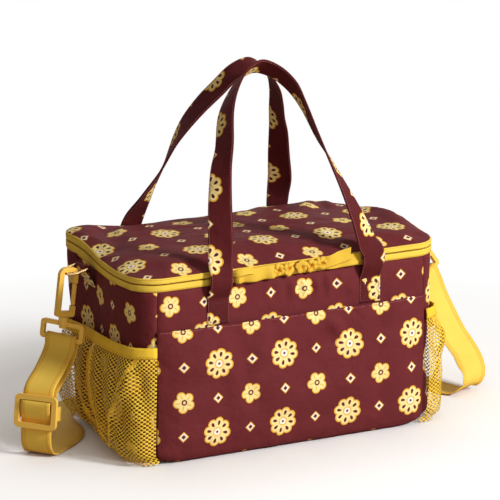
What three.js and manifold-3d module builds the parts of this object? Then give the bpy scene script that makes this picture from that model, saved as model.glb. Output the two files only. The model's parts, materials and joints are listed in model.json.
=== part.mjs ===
// Insulated lunch bag with a zipped lid, two carry handles, a slip pocket, two mesh side pockets
// and a detachable webbing shoulder strap. Millimetres, +Z up, front towards -Y.
// The origin is the middle of the underside of the base.
import * as THREE from 'three';
import { mergeVertices } from 'three/addons/utils/BufferGeometryUtils.js';
import Module from 'manifold-3d';

const wasm = await Module();
wasm.setup();

// Clearances
const seamGap = 0.3;
const runningGap = 0.4;

// Bag body
const seamHalf = 171;
const depth = 222;
const bodyHeight = 199;
const cornerRadius = 32;
const swellTop = 21;
const swellBottom = 13;
const backTaper = 0.0525;
const taperStart = -60;
const taperEnd = 50;
const baseRound = 12;
const baseTuckSide = 20;
const baseTuckFront = 7;
const basePanelHeight = 6;

// Wall layers, from the outside inwards
const fabricThickness = 1.2;
const foamThickness = 5;
const linerThickness = 0.8;
const boardThickness = 2;

// Zip band
const lowerTapeHeight = 7.5;
const zipGroove = 1.4;
const upperTapeHeight = 6.3;
const tapeThickness = 1;
const coilHeight = 1.4;
const coilThickness = 1.4;
const tapeBackEnd = 120;

// Lid
const lidDome = 13;
const lidFoamInset = 5;
const lidFoamThickness = 5;

// Sliders and ribbon pulls
const sliderLength = 13;
const sliderHeight = 9;
const sliderPlate = 1.2;
const sliderPost = 2.4;
const leftSliderX = -6;
const rightSliderX = 9;
const ribbonHeight = 15;
const ribbonThickness = 2;
const knotDepth = 6;
const knotHeight = 12.5;
const knotPitch = 13.2;
const leftRibbonTip = -2.2;
const rightRibbonTip = -1.6;
const leftRibbonEnd = -75;
const rightRibbonEnd = 81;

// Front slip pocket
const pocketHem = 154;
const pocketFoot = 7;
const pocketGape = 5.4;

// Mesh side pockets
const meshFront = 137;
const meshBack = 125;
const meshThickness = 1.2;
const meshFoot = 7;
const meshBulge = 20;
const meshTopOut = 6;
const meshEdgeOut = 0.5;
const bindingHeight = 12;

// Carry handles
const handleWidth = 28;
const handleThickness = 2;
const handleSpacing = 97;
const sewnTopFront = bodyHeight - 16;
const sewnTopBack = bodyHeight - 21;
const sewnFoot = pocketHem + 0.5;
const handleReach = 207;
const sweepClearance = 2.2;

// D-rings and their tabs
const ringY = 26;
const ringBarZ = bodyHeight + 2;
const ringBarOut = 10;
const ringWire = 1.5;
const ringLength = 31;
const ringDepth = 21;
const ringTilt = 75;
const tabWidth = 24;
const tabFoot = bodyHeight - 21;
const tabWall = 1.6;
const tabSeam = 13;

// Snap hooks with swivel eyes
const hookThickness = 6;
const hookWall = 5;
const hookSpine = 5.8;
const hookInner = 14.9;
const windowInner = 9.9;
const windowOuter = 2.6;
const windowTop = 1.8;
const windowBend = 2.3;
const windowDepth = 43;
const hookBottom = 49.6;
const noseBottom = 11;
const gateTop = 11.6;
const gateFoot = 36;
const gateThickness = 4;
const swivelPin = 3;
const swivelBoss = 6;
const eyeTop = 55;
const eyeWidth = 54;
const eyeHeight = 22;
const eyeBar = 5;
const leftLean = 7;
const rightLean = 35;

// Shoulder strap and its adjuster
const strapWidth = 38;
const strapThickness = 1.5;
const adjusterWidth = 52;
const adjusterHeight = 38;
const adjusterRail = 6;
const adjusterRailDepth = 4.5;
const adjusterBarDepth = 3.5;
const endLoopThickness = 1.4;

// Materials
const fabric = new THREE.MeshStandardMaterial({ color: 0x5e2a2e, roughness: 0.75, metalness: 0 });
const yellowCloth = new THREE.MeshStandardMaterial({ color: 0xe3b83a, roughness: 0.7, metalness: 0 });
const yellowPlastic = new THREE.MeshStandardMaterial({ color: 0xe6b93c, roughness: 0.4, metalness: 0 });
const meshCloth = new THREE.MeshStandardMaterial({ color: 0xe0b02c, roughness: 0.65, metalness: 0 });
const foam = new THREE.MeshStandardMaterial({ color: 0xf0efe8, roughness: 0.95, metalness: 0 });
const liner = new THREE.MeshStandardMaterial({ color: 0xd2d4d6, roughness: 0.35, metalness: 0.1 });
const board = new THREE.MeshStandardMaterial({ color: 0x9a8a70, roughness: 0.9, metalness: 0 });
const gold = new THREE.MeshStandardMaterial({ color: 0xd9b878, roughness: 0.25, metalness: 1 });

const group = new THREE.Group();
group.name = 'lunch_bag';

function place(name, geometry, material) {
  const mesh = new THREE.Mesh(geometry, material);
  mesh.name = name;
  group.add(mesh);
  return mesh;
}

// Geometry helpers

function rad(degrees) {
  return degrees * Math.PI / 180;
}

function spread(from, to, steps) {
  return Array.from({ length: steps + 1 }, (_, i) => from + (to - from) * i / steps);
}

function fromTriangles(positions, index) {
  const geometry = new THREE.BufferGeometry();
  geometry.setAttribute('position', new THREE.Float32BufferAttribute(positions, 3));
  geometry.setIndex(index);
  return facingOut(geometry);
}

// Turns every face the other way if the solid's volume comes out negative
function facingOut(geometry) {
  const p = geometry.attributes.position;
  const index = Array.from(geometry.index.array);
  let volume = 0;
  const a = new THREE.Vector3();
  const b = new THREE.Vector3();
  const c = new THREE.Vector3();
  for (let i = 0; i < index.length; i += 3) {
    a.fromBufferAttribute(p, index[i]);
    b.fromBufferAttribute(p, index[i + 1]);
    c.fromBufferAttribute(p, index[i + 2]);
    volume += a.dot(b.cross(c));
  }
  if (volume < 0) {
    for (let i = 0; i < index.length; i += 3) {
      [index[i + 1], index[i + 2]] = [index[i + 2], index[i + 1]];
    }
    geometry.setIndex(index);
  }
  geometry.computeVertexNormals();
  return geometry;
}

// Splits a quad along its shorter diagonal, so that parallel surfaces fold alike
function quadFace(index, positions, a, b, c, d) {
  const apart = (m, n) => Math.hypot(...[0, 1, 2].map((k) => positions[m * 3 + k] - positions[n * 3 + k]));
  if (apart(a, c) <= apart(b, d) + 1e-6) index.push(a, b, c, a, c, d);
  else index.push(a, b, d, b, c, d);
}

// A closed solid between two surfaces on one grid of nu by nv points
function slab(nu, nv, outer, inner) {
  const positions = [];
  for (const side of [outer, inner]) {
    for (let i = 0; i < nu; i++) {
      for (let j = 0; j < nv; j++) positions.push(...side(i, j));
    }
  }
  const at = (side, i, j) => side * nu * nv + i * nv + j;
  const index = [];
  const quad = (a, b, c, d) => quadFace(index, positions, a, b, c, d);
  for (let i = 0; i < nu - 1; i++) {
    for (let j = 0; j < nv - 1; j++) {
      quad(at(0, i, j), at(0, i + 1, j), at(0, i + 1, j + 1), at(0, i, j + 1));
      quad(at(1, i, j), at(1, i, j + 1), at(1, i + 1, j + 1), at(1, i + 1, j));
    }
    quad(at(0, i, 0), at(1, i, 0), at(1, i + 1, 0), at(0, i + 1, 0));
    quad(at(0, i, nv - 1), at(0, i + 1, nv - 1), at(1, i + 1, nv - 1), at(1, i, nv - 1));
  }
  for (let j = 0; j < nv - 1; j++) {
    quad(at(0, 0, j), at(0, 0, j + 1), at(1, 0, j + 1), at(1, 0, j));
    quad(at(0, nu - 1, j), at(1, nu - 1, j), at(1, nu - 1, j + 1), at(0, nu - 1, j + 1));
  }
  return fromTriangles(positions, index);
}

// A closed solid from a stack of closed outlines with the same number of points
function loft(levels) {
  const count = levels[0].length;
  const positions = levels.flat(2);
  const index = [];
  for (let k = 0; k < levels.length - 1; k++) {
    for (let i = 0; i < count; i++) {
      const next = (i + 1) % count;
      const a = k * count + i;
      const b = k * count + next;
      quadFace(index, positions, a, b, b + count, a + count);
    }
  }
  const cap = (k, flip) => {
    const middle = new THREE.Vector3();
    for (const point of levels[k]) middle.add(new THREE.Vector3(...point).divideScalar(count));
    positions.push(...middle.toArray());
    const centre = positions.length / 3 - 1;
    for (let i = 0; i < count; i++) {
      const a = k * count + i;
      const b = k * count + (i + 1) % count;
      if (flip) index.push(centre, b, a);
      else index.push(centre, a, b);
    }
  };
  cap(0, true);
  cap(levels.length - 1, false);
  return fromTriangles(positions, index);
}

// A flat band of given width and thickness along points that each carry a width direction
function band(points, widths, width, thickness) {
  const positions = [];
  const count = points.length;
  for (let i = 0; i < count; i++) {
    const before = points[Math.max(i - 1, 0)];
    const after = points[Math.min(i + 1, count - 1)];
    const along = after.clone().sub(before).normalize();
    const across = widths[i].clone().addScaledVector(along, -widths[i].dot(along)).normalize();
    const face = new THREE.Vector3().crossVectors(across, along);
    for (const [s, t] of [[-1, -1], [1, -1], [1, 1], [-1, 1]]) {
      const corner = points[i].clone();
      corner.addScaledVector(across, s * width / 2).addScaledVector(face, t * thickness / 2);
      positions.push(...corner.toArray());
    }
  }
  const index = [0, 1, 2, 0, 2, 3];
  for (let i = 0; i < count - 1; i++) {
    for (let k = 0; k < 4; k++) {
      const a = i * 4 + k;
      const b = i * 4 + (k + 1) % 4;
      index.push(a, b + 4, b, a, a + 4, b + 4);
    }
  }
  const last = (count - 1) * 4;
  index.push(last, last + 2, last + 1, last, last + 3, last + 2);
  return fromTriangles(positions, index);
}

function bare(geometry) {
  const plain = geometry.clone();
  plain.deleteAttribute('normal');
  plain.deleteAttribute('uv');
  return mergeVertices(plain, 1e-4);
}

function toSolid(geometry) {
  const merged = bare(geometry);
  return new wasm.Manifold(new wasm.Mesh({
    numProp: 3,
    vertProperties: new Float32Array(merged.attributes.position.array),
    triVerts: new Uint32Array(merged.index.array),
  }));
}

function fromSolid(solid) {
  const mesh = solid.getMesh();
  const geometry = new THREE.BufferGeometry();
  geometry.setAttribute('position', new THREE.Float32BufferAttribute(mesh.vertProperties, 3));
  geometry.setIndex(Array.from(mesh.triVerts));
  geometry.computeVertexNormals();
  return geometry;
}

function join(...geometries) {
  return fromSolid(geometries.map(toSolid).reduce((a, b) => a.add(b)));
}

function cut(geometry, ...tools) {
  return fromSolid(tools.map(toSolid).reduce((a, b) => a.subtract(b), toSolid(geometry)));
}

function box(x0, x1, y0, y1, z0, z1) {
  const geometry = new THREE.BoxGeometry(x1 - x0, y1 - y0, z1 - z0);
  return geometry.translate((x0 + x1) / 2, (y0 + y1) / 2, (z0 + z1) / 2);
}

// From 0 to 1 with a gentle start and end
function smooth(t) {
  const k = Math.min(1, Math.max(0, t));
  return k * k * (3 - 2 * k);
}

// A round bar between two points
function bar(from, to, radius, sides = 12) {
  const a = new THREE.Vector3(...from);
  const b = new THREE.Vector3(...to);
  const geometry = new THREE.CylinderGeometry(radius, radius, a.distanceTo(b), sides);
  const turn = new THREE.Quaternion().setFromUnitVectors(
    new THREE.Vector3(0, 1, 0), b.clone().sub(a).normalize());
  geometry.applyQuaternion(turn);
  return geometry.translate(...a.add(b).multiplyScalar(0.5).toArray());
}

// A rectangle with rounded corners, as a Shape or as a hole in one
function roundedRect(x0, x1, y0, y1, r, Kind = THREE.Shape) {
  const shape = new Kind();
  shape.moveTo(x0 + r, y0);
  shape.lineTo(x1 - r, y0);
  shape.absarc(x1 - r, y0 + r, r, -Math.PI / 2, 0);
  shape.lineTo(x1, y1 - r);
  shape.absarc(x1 - r, y1 - r, r, 0, Math.PI / 2);
  shape.lineTo(x0 + r, y1);
  shape.absarc(x0 + r, y1 - r, r, Math.PI / 2, Math.PI);
  shape.lineTo(x0, y0 + r);
  shape.absarc(x0 + r, y0 + r, r, Math.PI, 1.5 * Math.PI);
  return shape;
}

// Extrudes a shape and centres its thickness on the shape's plane
function plate(shape, thickness, curveSegments = 3) {
  const geometry = new THREE.ExtrudeGeometry(shape, {
    depth: thickness, bevelEnabled: false, curveSegments });
  return geometry.translate(0, 0, -thickness / 2);
}

// The bag's plan outline: its size at a height, and how it narrows towards the back

function swell(z) {
  const share = Math.min(Math.max(z / bodyHeight, 0), 1);
  return swellBottom + (swellTop - swellBottom) * share;
}

function sizeAt(z) {
  const tuck = z < baseRound ? (1 - z / baseRound) ** 2 : 0;
  return {
    halfWidth: seamHalf + swell(z) - baseTuckSide * tuck,
    halfDepth: depth / 2 - baseTuckFront * tuck,
  };
}

function narrow(y) {
  return 1 - backTaper * smooth((y - taperStart) / (taperEnd - taperStart));
}

function tapered([x, y]) {
  return [x * narrow(y), y];
}

// A station is a place along the outline; turn runs from 0 at front or back to 90 at the side
function cornerStation(sx, sy, turn) {
  return (z, inset) => {
    const { halfWidth, halfDepth } = sizeAt(z);
    const angle = rad(typeof turn === 'function' ? turn(z) : turn);
    const radius = cornerRadius - inset;
    return tapered([
      sx * (halfWidth - cornerRadius + radius * Math.sin(angle)),
      sy * (halfDepth - cornerRadius + radius * Math.cos(angle)),
    ]);
  };
}

function flatStation(share, sy) {
  return (z, inset) => {
    const { halfWidth, halfDepth } = sizeAt(z);
    return tapered([share * (halfWidth - cornerRadius), sy * (halfDepth - inset)]);
  };
}

function fixedStation(x, sy) {
  return (z, inset) => [x, sy * (sizeAt(z).halfDepth - inset)];
}

function sideStation(sx, share) {
  return (z, inset) => {
    const { halfWidth, halfDepth } = sizeAt(z);
    return tapered([sx * (halfWidth - inset), share * (halfDepth - cornerRadius)]);
  };
}

// Where the side seam lies on the corner, as a turn in degrees
function seamTurn(z) {
  return Math.asin((cornerRadius - swell(z)) / cornerRadius) * 180 / Math.PI;
}

// All layers use the same turns, so that their facets stay parallel
const seamShares = [0, 0.5, 1];
const sideShares = [0, 0.33, 0.67, 1];
const faceFlats = spread(-1, 1, 6).slice(1, -1);
const sideFlats = [-0.5, 0, 0.5];

function frontTurns(shift) {
  return seamShares.map((share) => (z) => seamTurn(z) * share + (share === 1 ? shift : 0));
}

function sideTurns(shift) {
  return sideShares.map((share) => (z) => {
    const start = seamTurn(z);
    return start + (90 - start) * share + (share === 0 ? shift : 0);
  });
}

function faceStations(sy, shift = 0) {
  const turns = frontTurns(-shift);
  return [
    ...turns.toReversed().map((t) => cornerStation(-1, sy, t)),
    ...faceFlats.map((share) => flatStation(share, sy)),
    ...turns.map((t) => cornerStation(1, sy, t)),
  ];
}

function sideStations(sx, shift = 0) {
  const turns = sideTurns(shift);
  return [
    ...turns.map((t) => cornerStation(sx, -1, t)),
    ...sideFlats.map((share) => sideStation(sx, share)),
    ...turns.toReversed().map((t) => cornerStation(sx, 1, t)),
  ];
}

// A wall piece between two insets, following the outline over a list of heights
function wall(stations, heights, insetOut, insetIn) {
  const surface = (inset) => (i, j) => [...stations[i](heights[j], inset), heights[j]];
  return slab(stations.length, heights.length, surface(insetOut), surface(insetIn));
}

const outlineStations = [
  ...faceStations(-1),
  ...sideStations(1).slice(1, -1),
  ...faceStations(1).toReversed(),
  ...sideStations(-1).toReversed().slice(1, -1),
];

function wholeOutline(z, inset) {
  return outlineStations.map((station) => [...station(z, inset), z]);
}

function prism(z0, z1, outline) {
  return loft([outline.map(([x, y]) => [x, y, z0]), outline.map(([x, y]) => [x, y, z1])]);
}

// Heights that several pieces share
const boardZ = fabricThickness + seamGap;
const baseFoamZ = boardZ + boardThickness + seamGap;
const linerZ = baseFoamZ + foamThickness + seamGap;
const upperHeights = [baseRound, bodyHeight / 3, bodyHeight * 2 / 3];
const wallHeights = [basePanelHeight + seamGap, linerZ, ...upperHeights, bodyHeight];
const rimZ = bodyHeight - seamGap;
const foamInset = fabricThickness + seamGap;
const linerInset = foamInset + foamThickness + seamGap;
const tapeZ = bodyHeight + seamGap;
const grooveZ = tapeZ + lowerTapeHeight;
const upperTapeZ = grooveZ + zipGroove;
const lidEdge = upperTapeZ + upperTapeHeight;
const frontFace = -depth / 2;
const backFace = depth / 2;
const hingeZ = grooveZ + zipGroove / 2;

// Outer fabric panels, cut at the side seams
const seamShift = seamGap / cornerRadius * 90 / Math.PI;
place('front_panel', wall(faceStations(-1, seamShift), wallHeights, 0, fabricThickness), fabric);
place('back_panel', wall(faceStations(1, seamShift), wallHeights, 0, fabricThickness), fabric);
for (const [side, sx] of [['left', -1], ['right', 1]]) {
  const stations = sideStations(sx, seamShift);
  place(`${side}_side_panel`, wall(stations, wallHeights, 0, fabricThickness), fabric);
}

function basePanel() {
  const outer = loft([0, 2, 4, basePanelHeight].map((z) => wholeOutline(z, 0)));
  const pan = [fabricThickness, 2.6, 4, basePanelHeight + 1];
  const inner = loft(pan.map((z) => wholeOutline(Math.min(z, basePanelHeight), fabricThickness)
    .map(([x, y]) => [x, y, z])));
  return cut(outer, inner);
}
place('base_panel', basePanel(), fabric);

// Stiffening board and foam under the liner
place('base_board', prism(boardZ, boardZ + boardThickness, wholeOutline(boardZ, foamInset)), board);
place('base_foam', prism(baseFoamZ, baseFoamZ + foamThickness, wholeOutline(baseFoamZ, foamInset)), foam);

// Foam walls
const foamHeights = [linerZ, ...upperHeights, rimZ];
const foamInner = foamInset + foamThickness;
place('front_foam', wall(faceStations(-1, seamShift), foamHeights, foamInset, foamInner), foam);
place('back_foam', wall(faceStations(1, seamShift), foamHeights, foamInset, foamInner), foam);
for (const [side, sx] of [['left', -1], ['right', 1]]) {
  place(`${side}_side_foam`, wall(sideStations(sx, seamShift), foamHeights, foamInset, foamInner), foam);
}

// Wipe-clean liner tub
function linerTub() {
  const inner = linerInset + linerThickness;
  const heights = [linerZ + linerThickness, ...upperHeights, rimZ];
  const shell = loft([linerZ, ...heights.slice(1)].map((z) => wholeOutline(z, linerInset)));
  const levels = heights.map((z) => wholeOutline(z, inner));
  levels.push(wholeOutline(rimZ, inner).map(([x, y]) => [x, y, rimZ + 1]));
  return cut(shell, loft(levels));
}
place('liner_tub', linerTub(), liner);

// Front slip pocket: a panel that stands off the front panel towards the middle of its hem
function frontPocket() {
  const stations = faceStations(-1, seamShift);
  const heights = [pocketFoot, linerZ, ...spread(baseRound, pocketHem, 5)];
  const edgeRoom = 0.28;
  const gapeStart = 0.55;
  const face = (offset) => (i, j) => {
    const z = heights[j];
    const [x, y] = stations[i](z, 0);
    const across = smooth((1 - Math.abs(x) / seamHalf) / edgeRoom);
    const up = smooth((z - pocketFoot) / (pocketHem * gapeStart));
    return [x, y - seamGap - pocketGape * across * up - offset, z];
  };
  return slab(stations.length, heights.length, face(fabricThickness), face(0));
}
place('front_pocket', frontPocket(), fabric);

// Mesh side pockets with an elastic binding along the top
function meshTop(y) {
  return meshFront + (meshBack - meshFront) * (y / depth + 0.5);
}

function meshOut(z, y) {
  const share = (z - meshFoot) / (meshTop(y) - meshFoot);
  const ends = Math.max(0, 1 - Math.abs(y) / (depth / 2)) / 0.2;
  const belly = meshBulge * Math.sin(Math.PI * Math.min(1, share) ** 0.75);
  return meshEdgeOut + (belly + meshTopOut * share ** 2) * Math.sqrt(Math.min(1, ends));
}

function meshPiece(sx, zAt, rows, thickness) {
  const stations = sideStations(sx, seamShift + 1);
  const face = (offset) => (i, j) => {
    const [, side] = stations[i](pocketHem, 0);
    const z = zAt(j, meshTop(side));
    const [x, y] = stations[i](z, 0);
    const [xIn, yIn] = stations[i](z, linerInset);
    const normal = new THREE.Vector2(x - xIn, y - yIn).normalize();
    const out = seamGap + meshOut(z, side) + offset;
    return [x + normal.x * out, y + normal.y * out, z];
  };
  return slab(stations.length, rows, face(thickness), face(0));
}

const meshFeet = [meshFoot, linerZ, baseRound];
const meshRowCount = 6;
function meshRow(j, top) {
  if (j < meshFeet.length) return meshFeet[j];
  const share = (j - meshFeet.length + 1) / meshRowCount;
  return baseRound + (top - bindingHeight - seamGap - baseRound) * share;
}
const bindingRow = (j, top) => top - bindingHeight + bindingHeight * j / 2;
for (const [side, sx] of [['left', -1], ['right', 1]]) {
  const rows = meshFeet.length + meshRowCount;
  place(`${side}_mesh_pocket`, meshPiece(sx, meshRow, rows, meshThickness), meshCloth);
  place(`${side}_pocket_binding`, meshPiece(sx, bindingRow, 3, meshThickness + 1), yellowCloth);
}

// Zip tapes and coils run from the back, round both sides and across the front
function bandStations(backEnd) {
  const side = (sx) => [
    fixedStation(sx * backEnd, 1),
    ...frontTurns(0).slice(0, -1).map((t) => cornerStation(sx, 1, t)),
    ...sideStations(sx).toReversed(),
    ...frontTurns(0).toReversed().slice(1).map((t) => cornerStation(sx, -1, t)),
  ];
  return [...side(-1), flatStation(0, -1), ...side(1).toReversed()];
}
const bandRun = bandStations(tapeBackEnd);

// The band keeps the outline of the top of the body at every height
function bandPiece(z0, z1, insetOut, insetIn) {
  const surface = (inset) => (i, j) => [...bandRun[i](bodyHeight, inset), j ? z1 : z0];
  return slab(bandRun.length, 2, surface(insetOut), surface(insetIn));
}

const coilInset = tapeThickness + seamGap;
place('lower_zip_tape', bandPiece(tapeZ, grooveZ, 0, tapeThickness), yellowCloth);
place('lower_zip_coil',
  bandPiece(grooveZ - coilHeight, grooveZ, coilInset, coilInset + coilThickness), yellowCloth);
place('upper_zip_tape', bandPiece(upperTapeZ, lidEdge, 0, tapeThickness), yellowCloth);
place('upper_zip_coil',
  bandPiece(upperTapeZ, upperTapeZ + coilHeight, coilInset, coilInset + coilThickness), yellowCloth);

// Fabric hinge across the back: one strip on the body, one on the lid
const hingeHalf = tapeBackEnd - seamGap;
place('hinge_strip',
  box(-hingeHalf, hingeHalf, backFace - fabricThickness, backFace, tapeZ, grooveZ), fabric);
place('lid_back_band',
  box(-hingeHalf, hingeHalf, backFace - fabricThickness, backFace, upperTapeZ, lidEdge), fabric);

// Lid: a domed panel, foam under it and a liner sheet under the foam
function domeSolid(inset, rings, top, bottom) {
  const outline = wholeOutline(bodyHeight, inset);
  const count = outline.length;
  const positions = [];
  for (const surface of [top, bottom]) {
    for (const ring of rings) {
      for (const [x, y] of outline) positions.push(x * ring, y * ring, surface(ring));
    }
    positions.push(0, 0, surface(0));
  }
  const half = rings.length * count + 1;
  const index = [];
  for (const [start, flip] of [[0, false], [half, true]]) {
    const add = (a, b, c) => (flip ? index.push(a, c, b) : index.push(a, b, c));
    for (let k = 0; k < rings.length - 1; k++) {
      for (let i = 0; i < count; i++) {
        const a = start + k * count + i;
        const b = start + k * count + (i + 1) % count;
        add(a, b, b + count);
        add(a, b + count, a + count);
      }
    }
    for (let i = 0; i < count; i++) {
      const last = start + (rings.length - 1) * count;
      add(last + i, last + (i + 1) % count, start + half - 1);
    }
  }
  for (let i = 0; i < count; i++) {
    const next = (i + 1) % count;
    index.push(i, half + i, half + next, i, half + next, next);
  }
  return fromTriangles(positions, index);
}

const lidRings = [1, 0.93, 0.8, 0.5];
const lidZ = lidEdge + seamGap;
const domeAt = (ring) => lidDome * (1 - ring ** 2.6);
const lidTop = (ring) => lidZ + fabricThickness + domeAt(ring);
const lidUnder = (ring) => lidZ + domeAt(ring);
place('lid_panel', domeSolid(0, lidRings, lidTop, lidUnder), fabric);

// The foam stops short of the band, so that the sliders' back plates pass outside it
const lidFoamTop = (ring) => lidUnder(ring) - seamGap;
const lidFoamUnder = (ring) => lidFoamTop(ring) - lidFoamThickness;
place('lid_foam', domeSolid(lidFoamInset, lidRings, lidFoamTop, lidFoamUnder), foam);
const lidLinerTop = (ring) => lidFoamUnder(ring) - seamGap;
const lidLinerUnder = (ring) => lidLinerTop(ring) - linerThickness;
place('lid_liner', domeSolid(lidFoamInset, lidRings, lidLinerTop, lidLinerUnder), liner);

// Fabric end tabs over the ends of the zip, at the back corners
const endTabY = 62;
const endTabWidth = 13;
for (const [side, sx] of [['left', -1], ['right', 1]]) {
  const [x] = sideStation(1, endTabY / (backFace - cornerRadius))(bodyHeight, 0);
  const out = sx * (x + seamGap);
  const far = out + sx * 2;
  place(`${side}_zip_end_tab`, box(Math.min(out, far), Math.max(out, far),
    endTabY, endTabY + endTabWidth, tapeZ + 0.5, grooveZ - 0.2), fabric);
}

// Sliders: a front and a back plate joined by a post in the groove between the tapes
const sliderZ = hingeZ;
const sliderFront = frontFace - seamGap;
const sliderBack = frontFace + coilInset + coilThickness + seamGap;
const ribbonBack = sliderFront - sliderPlate - seamGap;

function slider(x) {
  const half = sliderLength / 2;
  const z0 = sliderZ - sliderHeight / 2;
  const z1 = sliderZ + sliderHeight / 2;
  const postHalf = (zipGroove - 2 * seamGap) / 2;
  return join(
    box(x - half, x + half, sliderFront - sliderPlate, sliderFront, z0, z1),
    box(x - half, x + half, sliderBack, sliderBack + sliderPlate, z0, z1),
    box(x - sliderPost / 2, x + sliderPost / 2, sliderFront - 0.2, sliderBack + 0.2,
      sliderZ - postHalf, sliderZ + postHalf),
  );
}
place('left_zip_slider', slider(leftSliderX), yellowPlastic);
place('right_zip_slider', slider(rightSliderX), yellowPlastic);

// Ribbon pulls: a row of small knots by the slider, then a flat doubled tail
function ribbonPull(direction, tip, knots, tailEnd) {
  const knotHalf = knotPitch * 0.53;
  const pieces = [];
  for (let k = 0; k < knots; k++) {
    const knot = new THREE.SphereGeometry(1, 10, 8);
    knot.scale(knotHalf, knotDepth / 2, knotHeight / 2);
    knot.translate(tip + direction * (knotHalf + knotPitch * k), ribbonBack - knotDepth / 2, sliderZ);
    pieces.push(knot);
  }
  const tailStart = tip + direction * knotPitch * (knots - 0.3);
  const half = ribbonHeight / 2;
  pieces.push(box(Math.min(tailStart, tailEnd), Math.max(tailStart, tailEnd),
    ribbonBack - ribbonThickness, ribbonBack, sliderZ - half, sliderZ + half));
  return join(...pieces);
}
place('left_pull_ribbon', ribbonPull(-1, leftRibbonTip, 2, leftRibbonEnd), yellowCloth);
place('right_pull_ribbon', ribbonPull(1, rightRibbonTip, 3, rightRibbonEnd), yellowCloth);

// Carry handles: two sewn ends and a free loop each
const sewnFront = frontFace - seamGap - handleThickness;
const sewnBack = backFace + seamGap + handleThickness;
for (const [side, sx] of [['left', -1], ['right', 1]]) {
  const x0 = sx * handleSpacing - handleWidth / 2;
  const x1 = sx * handleSpacing + handleWidth / 2;
  place(`front_handle_${side}_end`,
    box(x0, x1, sewnFront, sewnFront + handleThickness, sewnFoot, sewnTopFront), fabric);
  place(`back_handle_${side}_end`,
    box(x0, x1, sewnBack - handleThickness, sewnBack, sewnFoot, sewnTopBack), fabric);
}

// A free loop: each row is a height, a depth, the places across at left and right, and a turn.
// Turned by 0 the webbing lies flat in the leaning loop; by 90 its width stands across the loop.
function handleLoop(rows, outwards) {
  const places = (column) => rows.map((row) => new THREE.Vector3(row[column], row[1], row[0]));
  const course = [...places(2), ...places(3).slice(0, -1).toReversed()];
  const last = course.length - 1;
  const tips = course.map((point, k) => {
    const row = Math.min(k, last - k);
    const [z0, y0] = rows[Math.max(row - 1, 0)];
    const [z1, y1] = rows[Math.min(row + 1, rows.length - 1)];
    const along = course[Math.min(k + 1, last)].clone().sub(course[Math.max(k - 1, 0)]);
    const face = new THREE.Vector3(0, -1, (y1 - y0) / (z1 - z0));
    const flat = new THREE.Vector3().crossVectors(along, face).normalize();
    const standing = new THREE.Vector3().crossVectors(flat, along).normalize();
    const turn = rad(rows[row][4]);
    return point.clone()
      .addScaledVector(flat, handleWidth / 2 * Math.cos(turn))
      .addScaledVector(standing, handleWidth / 2 * Math.sin(turn) * outwards);
  });
  const middle = new THREE.CatmullRomCurve3(course, false, 'centripetal');
  const edge = new THREE.CatmullRomCurve3(tips, false, 'centripetal');
  const steps = spread(0, 1, last * 2);
  const points = steps.map((t) => middle.getPoint(t));
  const widths = steps.map((t, i) => edge.getPoint(t).sub(points[i]));
  return band(points, widths, handleWidth, handleThickness);
}

// The front loop keeps outside the arc that the opening lid's front edge and the pulls sweep
const sweepRadius = backFace - (ribbonBack - ribbonThickness);
function outsideSweep(z, turn) {
  const radius = sweepRadius + sweepClearance + handleWidth / 2 * Math.sin(rad(turn));
  return backFace - Math.sqrt(radius ** 2 - (z - hingeZ) ** 2);
}
const strapOut = ribbonBack - knotDepth - handleThickness / 2 - 0.7;
const sewnMiddle = sewnFront + handleThickness / 2;
const frontReach = lidEdge + handleReach;
const frontRows = [
  [sewnTopFront + 0.5, sewnMiddle, -handleSpacing, handleSpacing, 0],
  [sewnTopFront + 9, (sewnFront + strapOut) / 2, -handleSpacing, handleSpacing, 0],
  [tapeZ + 1, strapOut, -handleSpacing, handleSpacing, 0],
  [lidEdge, strapOut - 0.3, -handleSpacing, handleSpacing, 0],
  ...[
    [10, -97.5, 90.5, 12], [38, -97.5, 78.5, 30], [77, -94, 63, 46],
    [111, -85, 51, 57], [133, -74, 44.5, 65], [164, -58, 40.5, 73],
  ].map(([h, left, right, turn]) => [lidEdge + h, outsideSweep(lidEdge + h, turn), left, right, turn]),
  [frontReach - 23, -46, -42.5, 33, 85],
  [frontReach - 7, -36, -23.5, 17, 92],
  [frontReach, -31, -2, -2, 95],
];
place('front_handle', handleLoop(frontRows, 1), fabric);

const backMiddle = sewnBack - handleThickness / 2;
const backReach = frontReach - 4;
const backRows = [
  [sewnTopBack + 0.5, backMiddle, -handleSpacing, handleSpacing, 0],
  [sewnTopBack + 8, backMiddle, -handleSpacing, handleSpacing, 0],
  [sewnTopBack + 20, sewnBack + 0.4, -96, 98, 0],
  [lidEdge - 2, sewnBack + 1, -91, 103, 0],
  [lidEdge + 18, 102, -90, 98, 5],
  [lidEdge + 49, 76, -87, 86, 30],
  [lidEdge + 80, 60, -76, 76, 50],
  [lidEdge + 114, 47, -66, 68, 66],
  [lidEdge + 134, 38, -57.5, 61, 76],
  [lidEdge + 156, 27, -44, 54, 82],
  [backReach - 27, 15, -29, 43.5, 85],
  [backReach - 8, 5, -12.5, 25, 84],
  [backReach, -1, 6, 6, 78],
];
place('back_handle', handleLoop(backRows, -1), fabric);

// D-rings in fabric tabs at the top of both sides
const [sideX] = sideStation(1, (ringY - tabWidth / 2) / (backFace - cornerRadius))(bodyHeight, 0);
const ringBarX = sideX + ringBarOut + ringWire;
const wireX = ringBarX + ringDepth * Math.sin(rad(ringTilt));
const wireZ = ringBarZ - ringDepth * Math.cos(rad(ringTilt));

function mirrored(geometry, sx) {
  if (sx > 0) return geometry;
  const flipped = geometry.clone().applyMatrix4(new THREE.Matrix4().makeScale(-1, 1, 1));
  return facingOut(bare(flipped));
}

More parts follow.
